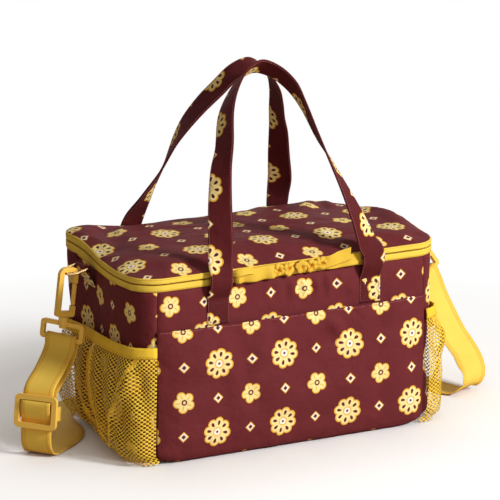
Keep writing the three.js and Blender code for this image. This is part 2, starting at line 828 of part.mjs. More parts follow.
// The ring is drawn hanging: a straight bar at the top and a bow below it, then tilted outwards
function ringSolid() {
  const half = ringLength / 2 - ringWire;
  const path = new THREE.CurvePath();
  const v = (y, z) => new THREE.Vector3(0, y, z);
  const low = -ringDepth;
  path.add(new THREE.LineCurve3(v(-half, 0), v(half, 0)));
  path.add(new THREE.LineCurve3(v(half, 0), v(half, low * 0.38)));
  const bow = (...places) => path.add(new THREE.CubicBezierCurve3(...places.map(([y, z]) => v(y, z))));
  bow([half, low * 0.38], [half, low * 0.82], [half * 0.62, low], [0, low]);
  bow([0, low], [-half * 0.62, low], [-half, low * 0.82], [-half, low * 0.38]);
  path.add(new THREE.LineCurve3(v(-half, low * 0.38), v(-half, 0)));
  const points = [];
  path.curves.forEach((curve, k) => {
    const steps = [4, 1, 5, 5, 1][k];
    for (let i = 0; i < steps; i++) points.push(curve.getPoint(i / steps));
  });
  return closedTube(points, ringWire, 8);
}

// A tube round a closed loop of points that lie in one plane across X
function closedTube(points, radius, sides) {
  const count = points.length;
  const positions = [];
  const index = [];
  const normal = new THREE.Vector3(1, 0, 0);
  for (let i = 0; i < count; i++) {
    const before = points[(i + count - 1) % count];
    const after = points[(i + 1) % count];
    const a = points[i].clone().sub(before).normalize();
    const b = after.clone().sub(points[i]).normalize();
    const along = a.clone().add(b).normalize();
    const side = new THREE.Vector3().crossVectors(along, normal).normalize();
    const stretch = 1 / Math.max(0.6, Math.sqrt((1 + a.dot(b)) / 2));
    for (let k = 0; k < sides; k++) {
      const turn = 2 * Math.PI * (k + 0.5) / sides;
      const point = points[i].clone();
      point.addScaledVector(normal, radius * Math.cos(turn));
      point.addScaledVector(side, radius * Math.sin(turn) * stretch);
      positions.push(...point.toArray());
      const next = (i + 1) % count;
      const k2 = (k + 1) % sides;
      index.push(i * sides + k, next * sides + k, next * sides + k2);
      index.push(i * sides + k, next * sides + k2, i * sides + k2);
    }
  }
  return fromTriangles(positions, index);
}

// The tab is a fold of webbing sewn low on the side; it stands off to hold the ring's bar
function ringTab() {
  const y0 = ringY - tabWidth / 2;
  const y1 = ringY + tabWidth / 2;
  const panelX = sideX + seamGap;
  const round = ringWire + seamGap + tabWall;
  const shape = new THREE.Shape();
  shape.moveTo(panelX, tabFoot);
  shape.lineTo(panelX + tabWall * 1.5, tabFoot);
  shape.lineTo(ringBarX + round * 0.98, ringBarZ - 0.8);
  shape.lineTo(ringBarX - round * 0.6, ringBarZ + round * 0.8);
  shape.lineTo(panelX, tabFoot + tabSeam);
  const fold = plate(shape, tabWidth).rotateX(Math.PI / 2).translate(0, ringY, 0);
  const axis = (radius, grow) => bar(
    [ringBarX, y0 - grow, ringBarZ], [ringBarX, y1 + grow, ringBarZ], radius, 16);
  return cut(join(fold, axis(round, 0)), axis(ringWire + seamGap, 2));
}

// Snap hook in its own plane: x runs away from the bag and y up, with the ring's wire at 0, 0
function hookShape() {
  const right = windowOuter + hookSpine;
  const left = -hookInner;
  const top = windowTop + hookWall + 0.5;
  const shape = new THREE.Shape();
  shape.moveTo(left + 3, -hookBottom);
  shape.lineTo(right - 3, -hookBottom);
  shape.absarc(right - 3, -hookBottom + 3, 3, -Math.PI / 2, 0);
  shape.lineTo(right, top - 9);
  shape.absarc(right - 9, top - 9, 9, 0, Math.PI / 2);
  shape.lineTo(left + 7, top);
  shape.absarc(left + 7, top - 7, 7, Math.PI / 2, Math.PI);
  shape.lineTo(left, -noseBottom);
  shape.lineTo(-windowInner, -noseBottom);
  shape.lineTo(-windowInner, windowTop - windowBend);
  shape.absarc(-windowInner + windowBend, windowTop - windowBend, windowBend, Math.PI, Math.PI / 2, true);
  shape.lineTo(windowOuter - 1, windowTop);
  shape.absarc(windowOuter - 1, windowTop - 1, 1, Math.PI / 2, 0, true);
  shape.lineTo(windowOuter, -windowDepth);
  shape.lineTo(-windowInner, -windowDepth);
  shape.lineTo(-windowInner, -gateFoot - 1);
  shape.lineTo(left, -gateFoot - 1);
  shape.lineTo(left, -hookBottom + 3);
  shape.absarc(left + 3, -hookBottom + 3, 3, Math.PI, 1.5 * Math.PI);
  return shape;
}
const hookMiddle = (windowOuter + hookSpine - hookInner) / 2;

// Stands a plate drawn in x and y up in the x and z plane
function upright(geometry) {
  return geometry.rotateX(Math.PI / 2);
}

function hookSolid() {
  const pinTop = -hookBottom + 0.5;
  const headTop = -(eyeTop + eyeBar + seamGap);
  const parts = [
    upright(plate(hookShape(), hookThickness)),
    bar([hookMiddle, 0, pinTop], [hookMiddle, 0, headTop], swivelPin, 12),
    bar([hookMiddle, 0, headTop + 0.01], [hookMiddle, 0, headTop - 2.4], swivelPin + 1.6, 12),
  ];
  return join(...parts);
}

function gateSolid() {
  const shape = roundedRect(-hookInner + 0.3, -windowInner - 0.3, -gateFoot, -gateTop, 1);
  return upright(plate(shape, gateThickness, 2));
}

// Swivel eye: a boss round the hook's pin over a slotted frame that the webbing goes round
function eyeSolid(turn) {
  const half = eyeWidth / 2;
  const top = -eyeTop;
  const shape = roundedRect(-half, half, top - eyeHeight, top, 4);
  const slot = [-half + eyeBar, half - eyeBar, top - eyeHeight + eyeBar, top - eyeBar];
  shape.holes.push(roundedRect(...slot, 1, THREE.Path));
  const frame = upright(plate(shape, eyeBar)).rotateZ(turn).translate(hookMiddle, 0, 0);
  const bossTop = -hookBottom - seamGap;
  const boss = bar([hookMiddle, 0, bossTop], [hookMiddle, 0, top - eyeBar + 0.2], swivelBoss, 16);
  const bore = bar([hookMiddle, 0, 0], [hookMiddle, 0, -eyeTop - eyeBar - 1], swivelPin + seamGap, 12);
  return cut(join(frame, boss), bore);
}

// Puts a piece drawn about the ring's wire on its side of the bag, leaning away from it
function onSide(geometry, sx, lean) {
  const placed = geometry.clone().rotateY(-rad(lean)).translate(wireX, ringY, wireZ);
  return mirrored(placed, sx);
}

const leftEyeTurn = rad(53.1);
const rightEyeTurn = rad(18);
const sideFittings = [['left', -1, leftLean, leftEyeTurn], ['right', 1, rightLean, rightEyeTurn]];
for (const [side, sx, lean, turn] of sideFittings) {
  place(`${side}_ring_tab`, mirrored(ringTab(), sx), fabric);
  const ring = ringSolid().rotateY(-rad(ringTilt)).translate(ringBarX, ringY, ringBarZ);
  place(`${side}_d_ring`, mirrored(ring, sx), gold);
  place(`${side}_hook`, onSide(hookSolid(), sx, lean), yellowPlastic);
  place(`${side}_hook_gate`, onSide(gateSolid(), sx, lean), yellowPlastic);
  place(`${side}_strap_eye`, onSide(eyeSolid(turn), sx, lean), yellowPlastic);
}

// The bottom bar of a strap eye: its middle, and the directions along, up and out from it
function eyeBarFrame(sx, lean, turn) {
  const tilt = new THREE.Matrix4().makeRotationY(-rad(lean));
  const flip = new THREE.Matrix4().makeScale(sx, 1, 1);
  const middle = new THREE.Vector3(hookMiddle, 0, -(eyeTop + eyeHeight - eyeBar / 2));
  middle.applyMatrix4(tilt).add(new THREE.Vector3(wireX, ringY, wireZ)).applyMatrix4(flip);
  const along = new THREE.Vector3(Math.cos(turn), Math.sin(turn), 0).applyMatrix4(tilt).applyMatrix4(flip);
  const up = new THREE.Vector3(0, 0, 1).applyMatrix4(tilt).applyMatrix4(flip);
  const out = new THREE.Vector3().crossVectors(along, up);
  if (out.x * sx < 0) out.negate();
  return { middle, along, up, out };
}

// Shoulder strap: down from the left eye through the adjuster, round the back of the bag on the
// floor, and up to the right eye. Each run is a list of places with the webbing's width direction.
const wrapRadius = eyeBar * Math.SQRT1_2 + runningGap + strapThickness * 0.55;
const layerGap = 2 * wrapRadius;
const leftEye = eyeBarFrame(-1, leftLean, leftEyeTurn);
const rightEye = eyeBarFrame(1, rightLean, rightEyeTurn);
const leftAcross = new THREE.Vector3(-0.6, 0.8, 0);
const leftOut = new THREE.Vector3(-0.8, -0.6, 0);

// The hanging run at the left, as distances out from the eye's bar and heights
const hangingRun = [
  [5, 115], [13, 106], [33, 91.5], [49, 83], [57, 76], [59.6, 69], [62.2, 52], [64.8, 35],
  [66.1, 25], [65, 13], [59.5, 4.4], [51, 1.3],
];
const adjusterIndex = 6;
const sharedCount = 6;
const floorRun = [
  [-249, 6], [-228, 22], [-211, 40], [-200, 62], [-195, 88], [-187, 116], [-167, 140], [-138, 154],
  [-100, 160], [0, 162], [100, 160], [150, 156], [186, 142], [214, 117], [234, 84], [250, 45], [262, 10],
];
const risingRun = [
  [269, -13, 1.4], [275, -24, 4], [281, -30, 10], [287, -30, 19], [290.6, -24, 29], [290.2, -10, 45],
  [282, 0, 62], [274, 8, 82], [266.5, 17, 105],
];
const floorLevel = strapThickness / 2 + seamGap + 0.2;

function hangingPoint([out, z]) {
  const point = leftEye.middle.clone().addScaledVector(leftOut, out);
  return point.setZ(z);
}

// The same run moved inwards by a gap, for the layer that comes back from the eye
function inwards(points, across, gap) {
  return points.map((point, i) => {
    const before = points[Math.max(0, i - 1)];
    const after = points[Math.min(points.length - 1, i + 1)];
    const along = after.clone().sub(before).normalize();
    const face = new THREE.Vector3().crossVectors(across[i], along).normalize();
    return point.clone().addScaledVector(face, -gap);
  });
}

// The bend round an eye's bar clears the bar's square corners
function wrap(eye, from, to) {
  return spread(from, to, 4).map((turn) => eye.middle.clone()
    .addScaledVector(eye.out, wrapRadius * Math.cos(rad(turn)))
    .addScaledVector(eye.up, wrapRadius * Math.sin(rad(turn))));
}

function strapCourse() {
  const hanging = hangingRun.map(hangingPoint);
  const shared = hanging.slice(0, sharedCount);
  const sharedAcross = shared.map(() => leftAcross);
  const back = inwards(shared, sharedAcross, layerGap);
  const rising = risingRun.map((point) => new THREE.Vector3(...point));
  const start = new THREE.Vector3(0.94, 0.33, 0);
  const risingAcross = rising.map((_, i) => start.clone()
    .lerp(rightEye.along, Math.min(1, i / (rising.length - 2))));
  const endRun = [...rising.slice(-2), wrap(rightEye, -35, 0)[0]];
  const endAcross = [...risingAcross.slice(-2), rightEye.along];
  const end = inwards(endRun, endAcross, layerGap);
  const course = [];
  const add = (points, across) => points.forEach((point, i) => course.push([point, across[i] ?? across[0]]));
  add(back.toReversed(), [leftAcross]);
  add(wrap(leftEye, 180, 0), [leftEye.along]);
  add(hanging, [leftAcross]);
  const floor = floorRun.map(([x, y]) => new THREE.Vector3(x, y, floorLevel));
  floor.forEach((point, i) => {
    const heading = (floor[i + 1] ?? rising[0]).clone().sub(floor[i - 1] ?? hanging.at(-1));
    course.push([point, new THREE.Vector3(-heading.y, heading.x, 0).normalize()]);
  });
  add(rising, risingAcross);
  add(wrap(rightEye, -35, 180), [rightEye.along]);
  add(end.slice(0, -1).toReversed(), endAcross.slice(0, -1).toReversed());
  return course;
}

// Samples the course, with more steps where its points are far apart
function strapBand(course) {
  const stepLength = 22;
  const curve = new THREE.CatmullRomCurve3(course.map(([point]) => point), false, 'centripetal');
  const points = [];
  const widths = [];
  for (let i = 0; i < course.length - 1; i++) {
    const steps = Math.max(1, Math.round(course[i][0].distanceTo(course[i + 1][0]) / stepLength));
    for (let k = 0; k < steps; k++) {
      points.push(curve.getPoint((i + k / steps) / (course.length - 1)));
      widths.push(course[i][1].clone().lerp(course[i + 1][1], k / steps));
    }
  }
  points.push(course.at(-1)[0]);
  widths.push(course.at(-1)[1]);
  return { points, widths };
}

const strap = strapBand(strapCourse());
place('shoulder_strap', band(strap.points, strap.widths, strapWidth, strapThickness), yellowCloth);
const strapSteps = strap.points.slice(1).map((point, i) => point.distanceTo(strap.points[i]));
const strapLength = strapSteps.reduce((sum, step) => sum + step, 0);
console.log(`shoulder strap length ${strapLength.toFixed(0)} mm`);

// Adjuster: two rails in front of the webbing and a centre bar behind it
function adjusterFrame() {
  const points = hangingRun.map(hangingPoint);
  const origin = points[adjusterIndex];
  const down = points[adjusterIndex + 1].clone().sub(points[adjusterIndex - 1]).normalize();
  const face = new THREE.Vector3().crossVectors(down, leftAcross).normalize();
  if (face.dot(leftOut) < 0) face.negate();
  const across = new THREE.Vector3().crossVectors(down, face).normalize();
  return new THREE.Matrix4().makeBasis(across, down, face).setPosition(origin);
}

const railFace = strapThickness / 2 + runningGap;
const barFace = strapThickness / 2 + runningGap + endLoopThickness + 2 * seamGap;
function adjuster() {
  const half = adjusterWidth / 2;
  const tall = adjusterHeight / 2;
  const inside = strapWidth / 2 + 1;
  const frame = roundedRect(-half, half, -tall, tall, 6);
  frame.holes.push(roundedRect(-inside, inside, -tall + adjusterRail, tall - adjusterRail, 2, THREE.Path));
  const front = plate(frame, adjusterRailDepth).translate(0, 0, railFace + adjusterRailDepth / 2);
  const back = -barFace - adjusterBarDepth;
  const cheek = adjusterRail * 1.3;
  return join(
    front,
    box(-half, -inside, -cheek, cheek, back, railFace + 1),
    box(inside, half, -cheek, cheek, back, railFace + 1),
    box(-half + 1, half - 1, -adjusterRail / 2, adjusterRail / 2, back, -barFace),
  );
}
place('strap_adjuster', adjuster().applyMatrix4(adjusterFrame()), yellowPlastic);

// The webbing's sewn end, folded round the centre bar
function endLoop() {
  const out = seamGap + endLoopThickness / 2;
  const nearFace = -barFace + out;
  const farFace = -barFace - adjusterBarDepth - out;
  const middle = (nearFace + farFace) / 2;
  const under = adjusterRail / 2;
  const course = [
    [-under * 5, farFace], [-under, farFace], [under - 0.1, farFace], [under + 1.4, farFace + 0.8],
    [under + 1.8, middle], [under + 1.4, nearFace - 0.8], [under - 0.1, nearFace], [-under, nearFace],
    [-under * 3, nearFace],
  ];
  const points = course.map(([y, z]) => new THREE.Vector3(0, y, z));
  const widths = points.map(() => new THREE.Vector3(1, 0, 0));
  return band(points, widths, strapWidth - 2, endLoopThickness);
}
place('strap_end_loop', endLoop().applyMatrix4(adjusterFrame()), yellowCloth);

export default group;
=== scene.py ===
import json
import math
import random
import bpy
import bmesh
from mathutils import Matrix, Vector, noise


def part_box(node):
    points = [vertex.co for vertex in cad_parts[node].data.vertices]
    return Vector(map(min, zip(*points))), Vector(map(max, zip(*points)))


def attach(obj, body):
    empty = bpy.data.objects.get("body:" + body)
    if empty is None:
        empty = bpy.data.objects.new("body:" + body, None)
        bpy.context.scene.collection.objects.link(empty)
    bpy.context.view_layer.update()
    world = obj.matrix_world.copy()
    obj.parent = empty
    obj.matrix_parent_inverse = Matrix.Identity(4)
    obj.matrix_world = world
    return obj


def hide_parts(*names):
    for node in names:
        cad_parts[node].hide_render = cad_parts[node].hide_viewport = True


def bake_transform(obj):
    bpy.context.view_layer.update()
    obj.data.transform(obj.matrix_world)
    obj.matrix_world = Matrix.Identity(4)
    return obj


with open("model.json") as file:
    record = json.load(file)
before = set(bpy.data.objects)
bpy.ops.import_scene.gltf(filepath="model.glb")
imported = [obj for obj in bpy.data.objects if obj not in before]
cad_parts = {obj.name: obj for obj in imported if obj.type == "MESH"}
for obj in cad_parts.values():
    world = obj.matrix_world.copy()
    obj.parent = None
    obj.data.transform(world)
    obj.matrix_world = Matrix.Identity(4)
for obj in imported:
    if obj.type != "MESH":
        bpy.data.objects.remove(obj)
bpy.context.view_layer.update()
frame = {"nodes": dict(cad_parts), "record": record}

mm = 0.001


def say(text):
    print("lunch bag:", text)


def addObject(name, data):
    added = bpy.data.objects.new(name, data)
    bpy.context.collection.objects.link(added)
    return added


# Places a camera or a lamp and turns it towards a target
def aim(added, place, target):
    added.location = place
    added.rotation_mode = "QUATERNION"
    added.rotation_quaternion = (Vector(target) - Vector(place)).to_track_quat("-Z", "Y")


# The camera stands to the left of the bag's front and a little above it, as in the photo
view = {
    "place": (-2050.8 * mm, -3742.6 * mm, 1284.0 * mm),
    "target": (15.2 * mm, 18.8 * mm, 196.1 * mm),
    "lens": 278.0,
    "sensor": 36.0,
    "clipEnd": 30,      # metres
}


def setCamera():
    data = bpy.data.cameras.new("photoCamera")
    data.lens = view["lens"]
    data.sensor_width = view["sensor"]
    data.clip_end = view["clipEnd"]
    camera = addObject("photoCamera", data)
    aim(camera, view["place"], view["target"])
    bpy.context.scene.camera = camera


setCamera()
say("camera set")


# Shader maths: a wrapped socket that takes part in Python expressions
class Wire:
    def __init__(self, finish, socket):
        self.finish = finish
        self.socket = socket

    def math(self, operation, *others, clamp=False):
        settings = {"operation": operation, "use_clamp": clamp}
        return self.finish.add("ShaderNodeMath", settings, [self, *others])

    def __add__(self, other):
        return self.math("ADD", other)

    __radd__ = __add__

    def __sub__(self, other):
        return self.math("SUBTRACT", other)

    def __rsub__(self, other):
        return self.finish.add("ShaderNodeMath", {"operation": "SUBTRACT"}, [other, self])

    def __mul__(self, other):
        return self.math("MULTIPLY", other)

    __rmul__ = __mul__

    def __truediv__(self, other):
        return self.math("DIVIDE", other)

    def __pow__(self, other):
        return self.math("POWER", other)

    def __abs__(self):
        return self.math("ABSOLUTE")

    # 0 below zero and 1 above it, with a soft edge of the given width
    def edge(self, width=0.5):
        return self.math("MULTIPLY_ADD", 1 / width, 0.5, clamp=True)

    def wrap(self, half):
        return self.math("WRAP", half, -half)

    def over(self, other):
        return self.math("MAXIMUM", other)

    def under(self, other):
        return self.math("MINIMUM", other)

    # Another output of the same node
    def output(self, key):
        return Wire(self.finish, self.socket.node.outputs[key])


class Finish:
    def __init__(self, name, library=bpy.data.materials):
        self.owner = library.new(name)
        self.owner.use_nodes = True
        self.tree = self.owner.node_tree
        self.tree.nodes.clear()

    def add(self, kind, settings=None, sockets=None, output=0):
        node = self.tree.nodes.new(kind)
        for key, value in (settings or {}).items():
            setattr(node, key, value)
        pairs = sockets.items() if isinstance(sockets, dict) else enumerate(sockets or [])
        for key, value in pairs:
            if isinstance(value, Wire):
                self.tree.links.new(value.socket, node.inputs[key])
            else:
                node.inputs[key].default_value = value
        return Wire(self, node.outputs[output]) if node.outputs else None

    # The place on the cut cloth, in millimetres
    def uv(self):
        split = self.add("ShaderNodeSeparateXYZ", None, [self.add("ShaderNodeUVMap", {"uv_map": "cut"})])
        return split * 1000, split.output(1) * 1000

    def vector(self, x, y, z=0.0):
        return self.add("ShaderNodeCombineXYZ", None, [x, y, z])

    # The place on the object, in metres
    def place(self):
        return self.add("ShaderNodeTexCoord", None, None, "Object")

    def noise(self, vector, scale, detail=3.0, rough=0.55):
        sockets = {"Vector": vector, "Scale": scale, "Detail": detail, "Roughness": rough}
        return self.add("ShaderNodeTexNoise", {"noise_dimensions": "3D"}, sockets)

    def mix(self, factor, a, b, blend="MIX"):
        settings = {"data_type": "RGBA", "blend_type": blend}
        return self.add("ShaderNodeMix", settings, {0: factor, 6: a, 7: b}, 2)

    def bump(self, height, strength, distance, under=None):
        sockets = {"Height": height, "Strength": strength, "Distance": distance}
        if under is not None:
            sockets["Normal"] = under
        return self.add("ShaderNodeBump", None, sockets)

    # 1 on open faces, less in folds and under laps
    def openness(self, reach):
        settings = {"samples": 8, "only_local": False}
        return self.add("ShaderNodeAmbientOcclusion", settings, {"Distance": reach}, "AO")

    # Ends a material: its colour, its roughness, its bump and the sockets that hold one value all over
    def surface(self, colour, rough, normal, **fixed):
        sockets = {"Base Color": colour, "Roughness": rough, "Normal": normal}
        for key, value in fixed.items():
            sockets[key.replace("_", " ")] = value
        shader = self.add("ShaderNodeBsdfPrincipled", None, sockets)
        self.add("ShaderNodeOutputMaterial", None, {"Surface": shader})
        return self.owner


def srgb(red, green, blue):
    def linear(value):
        value /= 255
        return value / 12.92 if value <= 0.04045 else ((value + 0.055) / 1.055) ** 2.4
    return (linear(red), linear(green), linear(blue), 1)


def shaded(colour, share):
    return tuple(min(1, channel * share) for channel in colour[:3]) + (1,)


# The printed cloth: a generic ditsy print of rosettes, small flowers and lozenges. Sizes are in millimetres;
# rings run from the outside in, each with its radius or its distance from the edge and its paint.
printPlan = {
    "cellWide": 84, "cellTall": 80,
    "rosette": {
        "radius": 17.5, "petals": 8, "notch": 0.2, "turn": 0.2, "rim": 1.7, "pipAt": 10.6, "pipLong": 2.9,
        "pipSpread": 0.16, "rings": ((5.4, "outline"), (4.1, "white"), (1.5, "ground")),
    },
    "flower": {
        "radius": 12.5, "petals": 5, "notch": 0.34, "turn": 0.5, "rim": 1.5, "vein": 0.5, "veinStart": 4.5,
        "veinEnd": 9.5, "rings": ((3.3, "ground"), (1.6, "fill")),
    },
    "lozenge": {"reach": 6.4, "rings": ((0, "outline"), (1.4, "white"), (3.6, "ground"))},
    "paints": {
        "ground": srgb(106, 43, 47), "outline": srgb(238, 178, 62), "fill": srgb(248, 228, 156),
        "white": srgb(250, 243, 226),
    },
}


# The petals of one bloom, their rim and their fill; also gives the distance from its middle and the
# angle from the middle line of a petal
def addPetals(finish, colour, x, y, bloom, paints):
    angle = y.math("ARCTAN2", x) + bloom["turn"]
    far = (x * x + y * y).math("SQRT")
    lobes = abs((angle * (bloom["petals"] / 2)).math("COSINE")) ** 0.6
    inside = (1 - bloom["notch"] + lobes * bloom["notch"]) * bloom["radius"] - far
    colour = finish.mix(inside.edge(), colour, paints["outline"])
    colour = finish.mix((inside - bloom["rim"]).edge(), colour, paints["fill"])
    return colour, far, angle.wrap(math.pi / bloom["petals"])


def printedColour(finish, u, v, ground):
    plan, rosette, flower = printPlan, printPlan["rosette"], printPlan["flower"]
    paints = {**plan["paints"], "ground": ground}
    halfWide, halfTall = plan["cellWide"] / 2, plan["cellTall"] / 2
    bigX, bigY = u.wrap(halfWide), v.wrap(halfTall)
    midX, midY = (u - halfWide).wrap(halfWide), (v - halfTall).wrap(halfTall)

    # rosette: a dark pip in each petal and a ringed white centre
    colour, far, angle = addPetals(finish, ground, bigX, bigY, rosette, paints)
    along, across = far * angle.math("COSINE"), far * angle.math("SINE")
    pipAlong = (along - rosette["pipAt"]) / rosette["pipLong"]
    pipAcross = abs(across) / (along * rosette["pipSpread"])
    colour = finish.mix((1 - pipAlong ** 2 - pipAcross ** 2).edge(0.25), colour, ground)
    for radius, paint in rosette["rings"]:
        colour = finish.mix((radius - far).edge(), colour, paints[paint])

    # flower between the rosettes: a vein in each petal and a dark centre
    colour, far, angle = addPetals(finish, colour, midX, midY, flower, paints)
    vein = flower["vein"] - abs(far * angle.math("SINE"))
    vein = vein.under(flower["veinEnd"] - far).under(far - flower["veinStart"])
    colour = finish.mix(vein.edge(0.4), colour, paints["outline"])
    for radius, paint in flower["rings"]:
        colour = finish.mix((radius - far).edge(), colour, paints[paint])

    # lozenges half way along both sides of the cell
    for x, y in ((midX, bigY), (bigX, midY)):
        inside = plan["lozenge"]["reach"] - abs(x) - abs(y)
        for inset, paint in plan["lozenge"]["rings"]:
            colour = finish.mix((inside - inset).edge(), colour, paints[paint])
    return colour


# Plain weave: threads over and under, one pitch apart, with slubs; it also fades and wrinkles softly
weave = {
    "pitch": 0.45, "threadShade": 0.035, "slubShade": 0.1, "base": 0.93, "fade": (0.86, 1.16), "rough": 0.62,
    "sheen": 0.01, "sheenRough": 0.4, "specular": 0.05,
}


def wovenCloth(name, ground, printed=True):
    finish = Finish(name)
    u, v = finish.uv()
    spot = finish.vector(u, v)
    fade = finish.noise(spot, 0.02, 4)
    darkest, lightest = (shaded(ground, share) for share in weave["fade"])
    tone = finish.mix(fade, darkest, lightest)
    colour = printedColour(finish, u, v, tone) if printed else tone
    warp = (u * (math.pi / weave["pitch"])).math("SINE")
    weft = (v * (math.pi / weave["pitch"])).math("SINE")
    threads = warp * weft
    slub = finish.noise(finish.vector(u * 0.25, v * 3), 1.0, 2)
    shade = threads * weave["threadShade"] + slub * weave["slubShade"] + weave["base"]
    colour = finish.mix(1.0, colour, finish.vector(shade, shade, shade), "MULTIPLY")
    normal = finish.bump(finish.noise(spot, 0.05, 3, 0.5), 0.5, 0.005)
    normal = finish.bump(threads, 0.25, 0.0001, normal)
    rough = weave["rough"] + (fade - 0.5) * 0.12
    return finish.surface(colour, rough, normal, Sheen_Weight=weave["sheen"],
                          Sheen_Roughness=weave["sheenRough"], Specular_IOR_Level=weave["specular"])


# Woven yellow tape, with painted shade of deep orange where folds and laps close it in. The shoulder webbing
# also has two woven lines near each edge, with the weft showing as ticks between them.
tapeWeave = {"yarnPitch": 0.9, "tickPitch": 2.2, "lineReach": 2.1, "lineHalf": 0.35, "specular": 0.08}


def ripples(place, pitch):
    return (place * (math.pi * 2 / pitch)).math("SINE")


def ribbedWebbing(name, colour, pitch, rough, border=0.0, fold=0.006, depth=srgb(206, 112, 8)):
    plan = tapeWeave
    finish = Finish(name)
    u, v = finish.uv()
    ribs, yarns = ripples(v, pitch), ripples(u, plan["yarnPitch"])
    fade = finish.noise(finish.vector(u, v), 0.035, 3)
    # the tape's tone varies at random, with painted shade: lighter on the ribs and yarns, darker between them
    tone = finish.mix(fade + ribs * 0.1 + yarns * 0.04, shaded(colour, 0.88), shaded(colour, 1.06))
    height = ribs + yarns * 0.35
    if border:
        off = abs(abs(u) - border)
        ticks = ripples(v, plan["tickPitch"]) * 0.5 + 0.5
        zone = (plan["lineReach"] - off).edge(0.6)
        line = (plan["lineHalf"] - abs(off - plan["lineReach"])).edge(0.3)
        tone = finish.mix(zone * ticks * 0.45, tone, depth)
        tone = finish.mix(line * 0.4, tone, depth)
        height = height + zone * (ticks * 1.6 - 1.0)
    # painted shade: deep orange where folds and laps close the tape in
    shade = 1 - finish.openness(fold)
    tone = finish.mix((shade * 1.25 - 0.12).under(0.92).over(0), tone, depth)
    normal = finish.bump(height, 0.3, 0.00025)
    return finish.surface(tone, rough + ribs * 0.06, normal, Specular_IOR_Level=plan["specular"])


# The folds of a net pocket: how far back each one lies at height z, where decay is exp(-z / foldDecay)
foldDecay = 40


def foldPlaces(z, decay):
    return 4 - 90 * decay, -51 - 0.4 * z, -47 + 1.36 * z - 0.0037 * z * z


# Knitted net: round-cornered holes in staggered rows, open enough to see the cloth behind
netWeave = {
    "wide": 6.3, "tall": 5.5, "hole": 1.56, "holeShape": (1.08, 0.94), "squareness": 2.4,
    "foldHalves": (3.4, 3.0, 3.4), "lowFoldTop": 80,
    "shade": srgb(236, 164, 20), "foldShade": srgb(232, 160, 26),
}


def netCloth(name, colour):
    plan = netWeave
    finish = Finish(name)
    u, v = finish.uv()
    halfWide, halfTall, power = plan["wide"] / 2, plan["tall"] / 2, plan["squareness"]
    holes = []
    for x, y in ((u.wrap(halfWide), v.wrap(halfTall)),
                 ((u - halfWide).wrap(halfWide), (v - halfTall).wrap(halfTall))):
        across, up = abs(x) / plan["holeShape"][0], abs(y) / plan["holeShape"][1]
        holes.append(plan["hole"] - (across ** power + up ** power) ** (1 / power))
    # where the cloth is folded over itself its holes close up
    here = finish.add("ShaderNodeSeparateXYZ", None, [finish.place()])
    y, z = here.output(1) * 1000, here.output(2) * 1000
    places = foldPlaces(z, (z / -foldDecay).math("EXPONENT"))
    first, second, low = (abs(y - place) / half for place, half in zip(places, plan["foldHalves"]))
    low = low + ((z - plan["lowFoldTop"]) * 0.1).over(0)
    fold = (1 - first.under(second).under(low)).over(0)
    hole = holes[0].over(holes[1]) - fold.under(0.6) * 2.6
    solid = 1 - hole.edge(0.12) * 0.92
    fade = finish.noise(finish.vector(u, v), 0.04, 2)
    knit = (hole * -1).over(0).under(1.4)
    tone = finish.mix(fade * 0.8 + knit * 0.4 + 0.1, plan["shade"], colour)
    tone = finish.mix(fold * 0.7, tone, plan["foldShade"])
    return finish.surface(tone, 0.5, finish.bump(knit, 0.7, 0.0006), Alpha=solid, Specular_IOR_Level=0.3)


def mouldedPlastic(name, colour):
    finish = Finish(name)
    here = finish.place()
    fade = finish.noise(here, 22.0, 3)
    tone = finish.mix(fade, shaded(colour, 0.92), colour)
    scuff = finish.noise(here, 160.0, 4, 0.7)
    rough = 0.3 + (scuff - 0.5).over(0) * 0.8 + fade * 0.08
    grain = finish.bump(finish.noise(here, 900.0, 2), 0.12, 0.0001)
    return finish.surface(tone, rough, grain, Specular_IOR_Level=0.5)


def polishedGold(name):
    finish = Finish(name)
    here = finish.place()
    fade = finish.noise(here, 60.0, 4)
    tone = finish.mix(fade, srgb(206, 164, 104), srgb(246, 214, 160))
    rough = 0.16 + (fade - 0.45).over(0) * 0.5
    grain = finish.bump(finish.noise(here, 700.0, 2), 0.05, 0.0001)
    return finish.surface(tone, rough, grain, Metallic=1.0)


def softFoam(name):
    finish = Finish(name)
    cells = finish.noise(finish.place(), 1400.0, 3)
    tone = finish.mix(cells, srgb(214, 212, 202), srgb(244, 243, 236))
    return finish.surface(tone, 0.95, finish.bump(cells, 0.4, 0.0004))


def linerFilm(name):
    finish = Finish(name)
    crease = finish.noise(finish.place(), 45.0, 5, 0.6)
    tone = finish.mix(crease, srgb(168, 171, 175), srgb(214, 216, 219))
    normal = finish.bump(crease, 0.35, 0.002)
    return finish.surface(tone, 0.44 + crease * 0.15, normal, Metallic=0.15, Specular_IOR_Level=0.3)


def fibreBoard(name):
    finish = Finish(name)
    fibres = finish.noise(finish.place(), 300.0, 5, 0.7)
    tone = finish.mix(fibres, srgb(128, 110, 84), srgb(168, 148, 116))
    return finish.surface(tone, 0.9, finish.bump(fibres, 0.3, 0.0003))


def sewingThread(name, colour):
    finish = Finish(name)
    twist = finish.noise(finish.place(), 2500.0, 2)
    tone = finish.mix(twist, shaded(colour, 0.8), colour)
    return finish.surface(tone, 0.6, finish.bump(twist, 0.2, 0.0001))


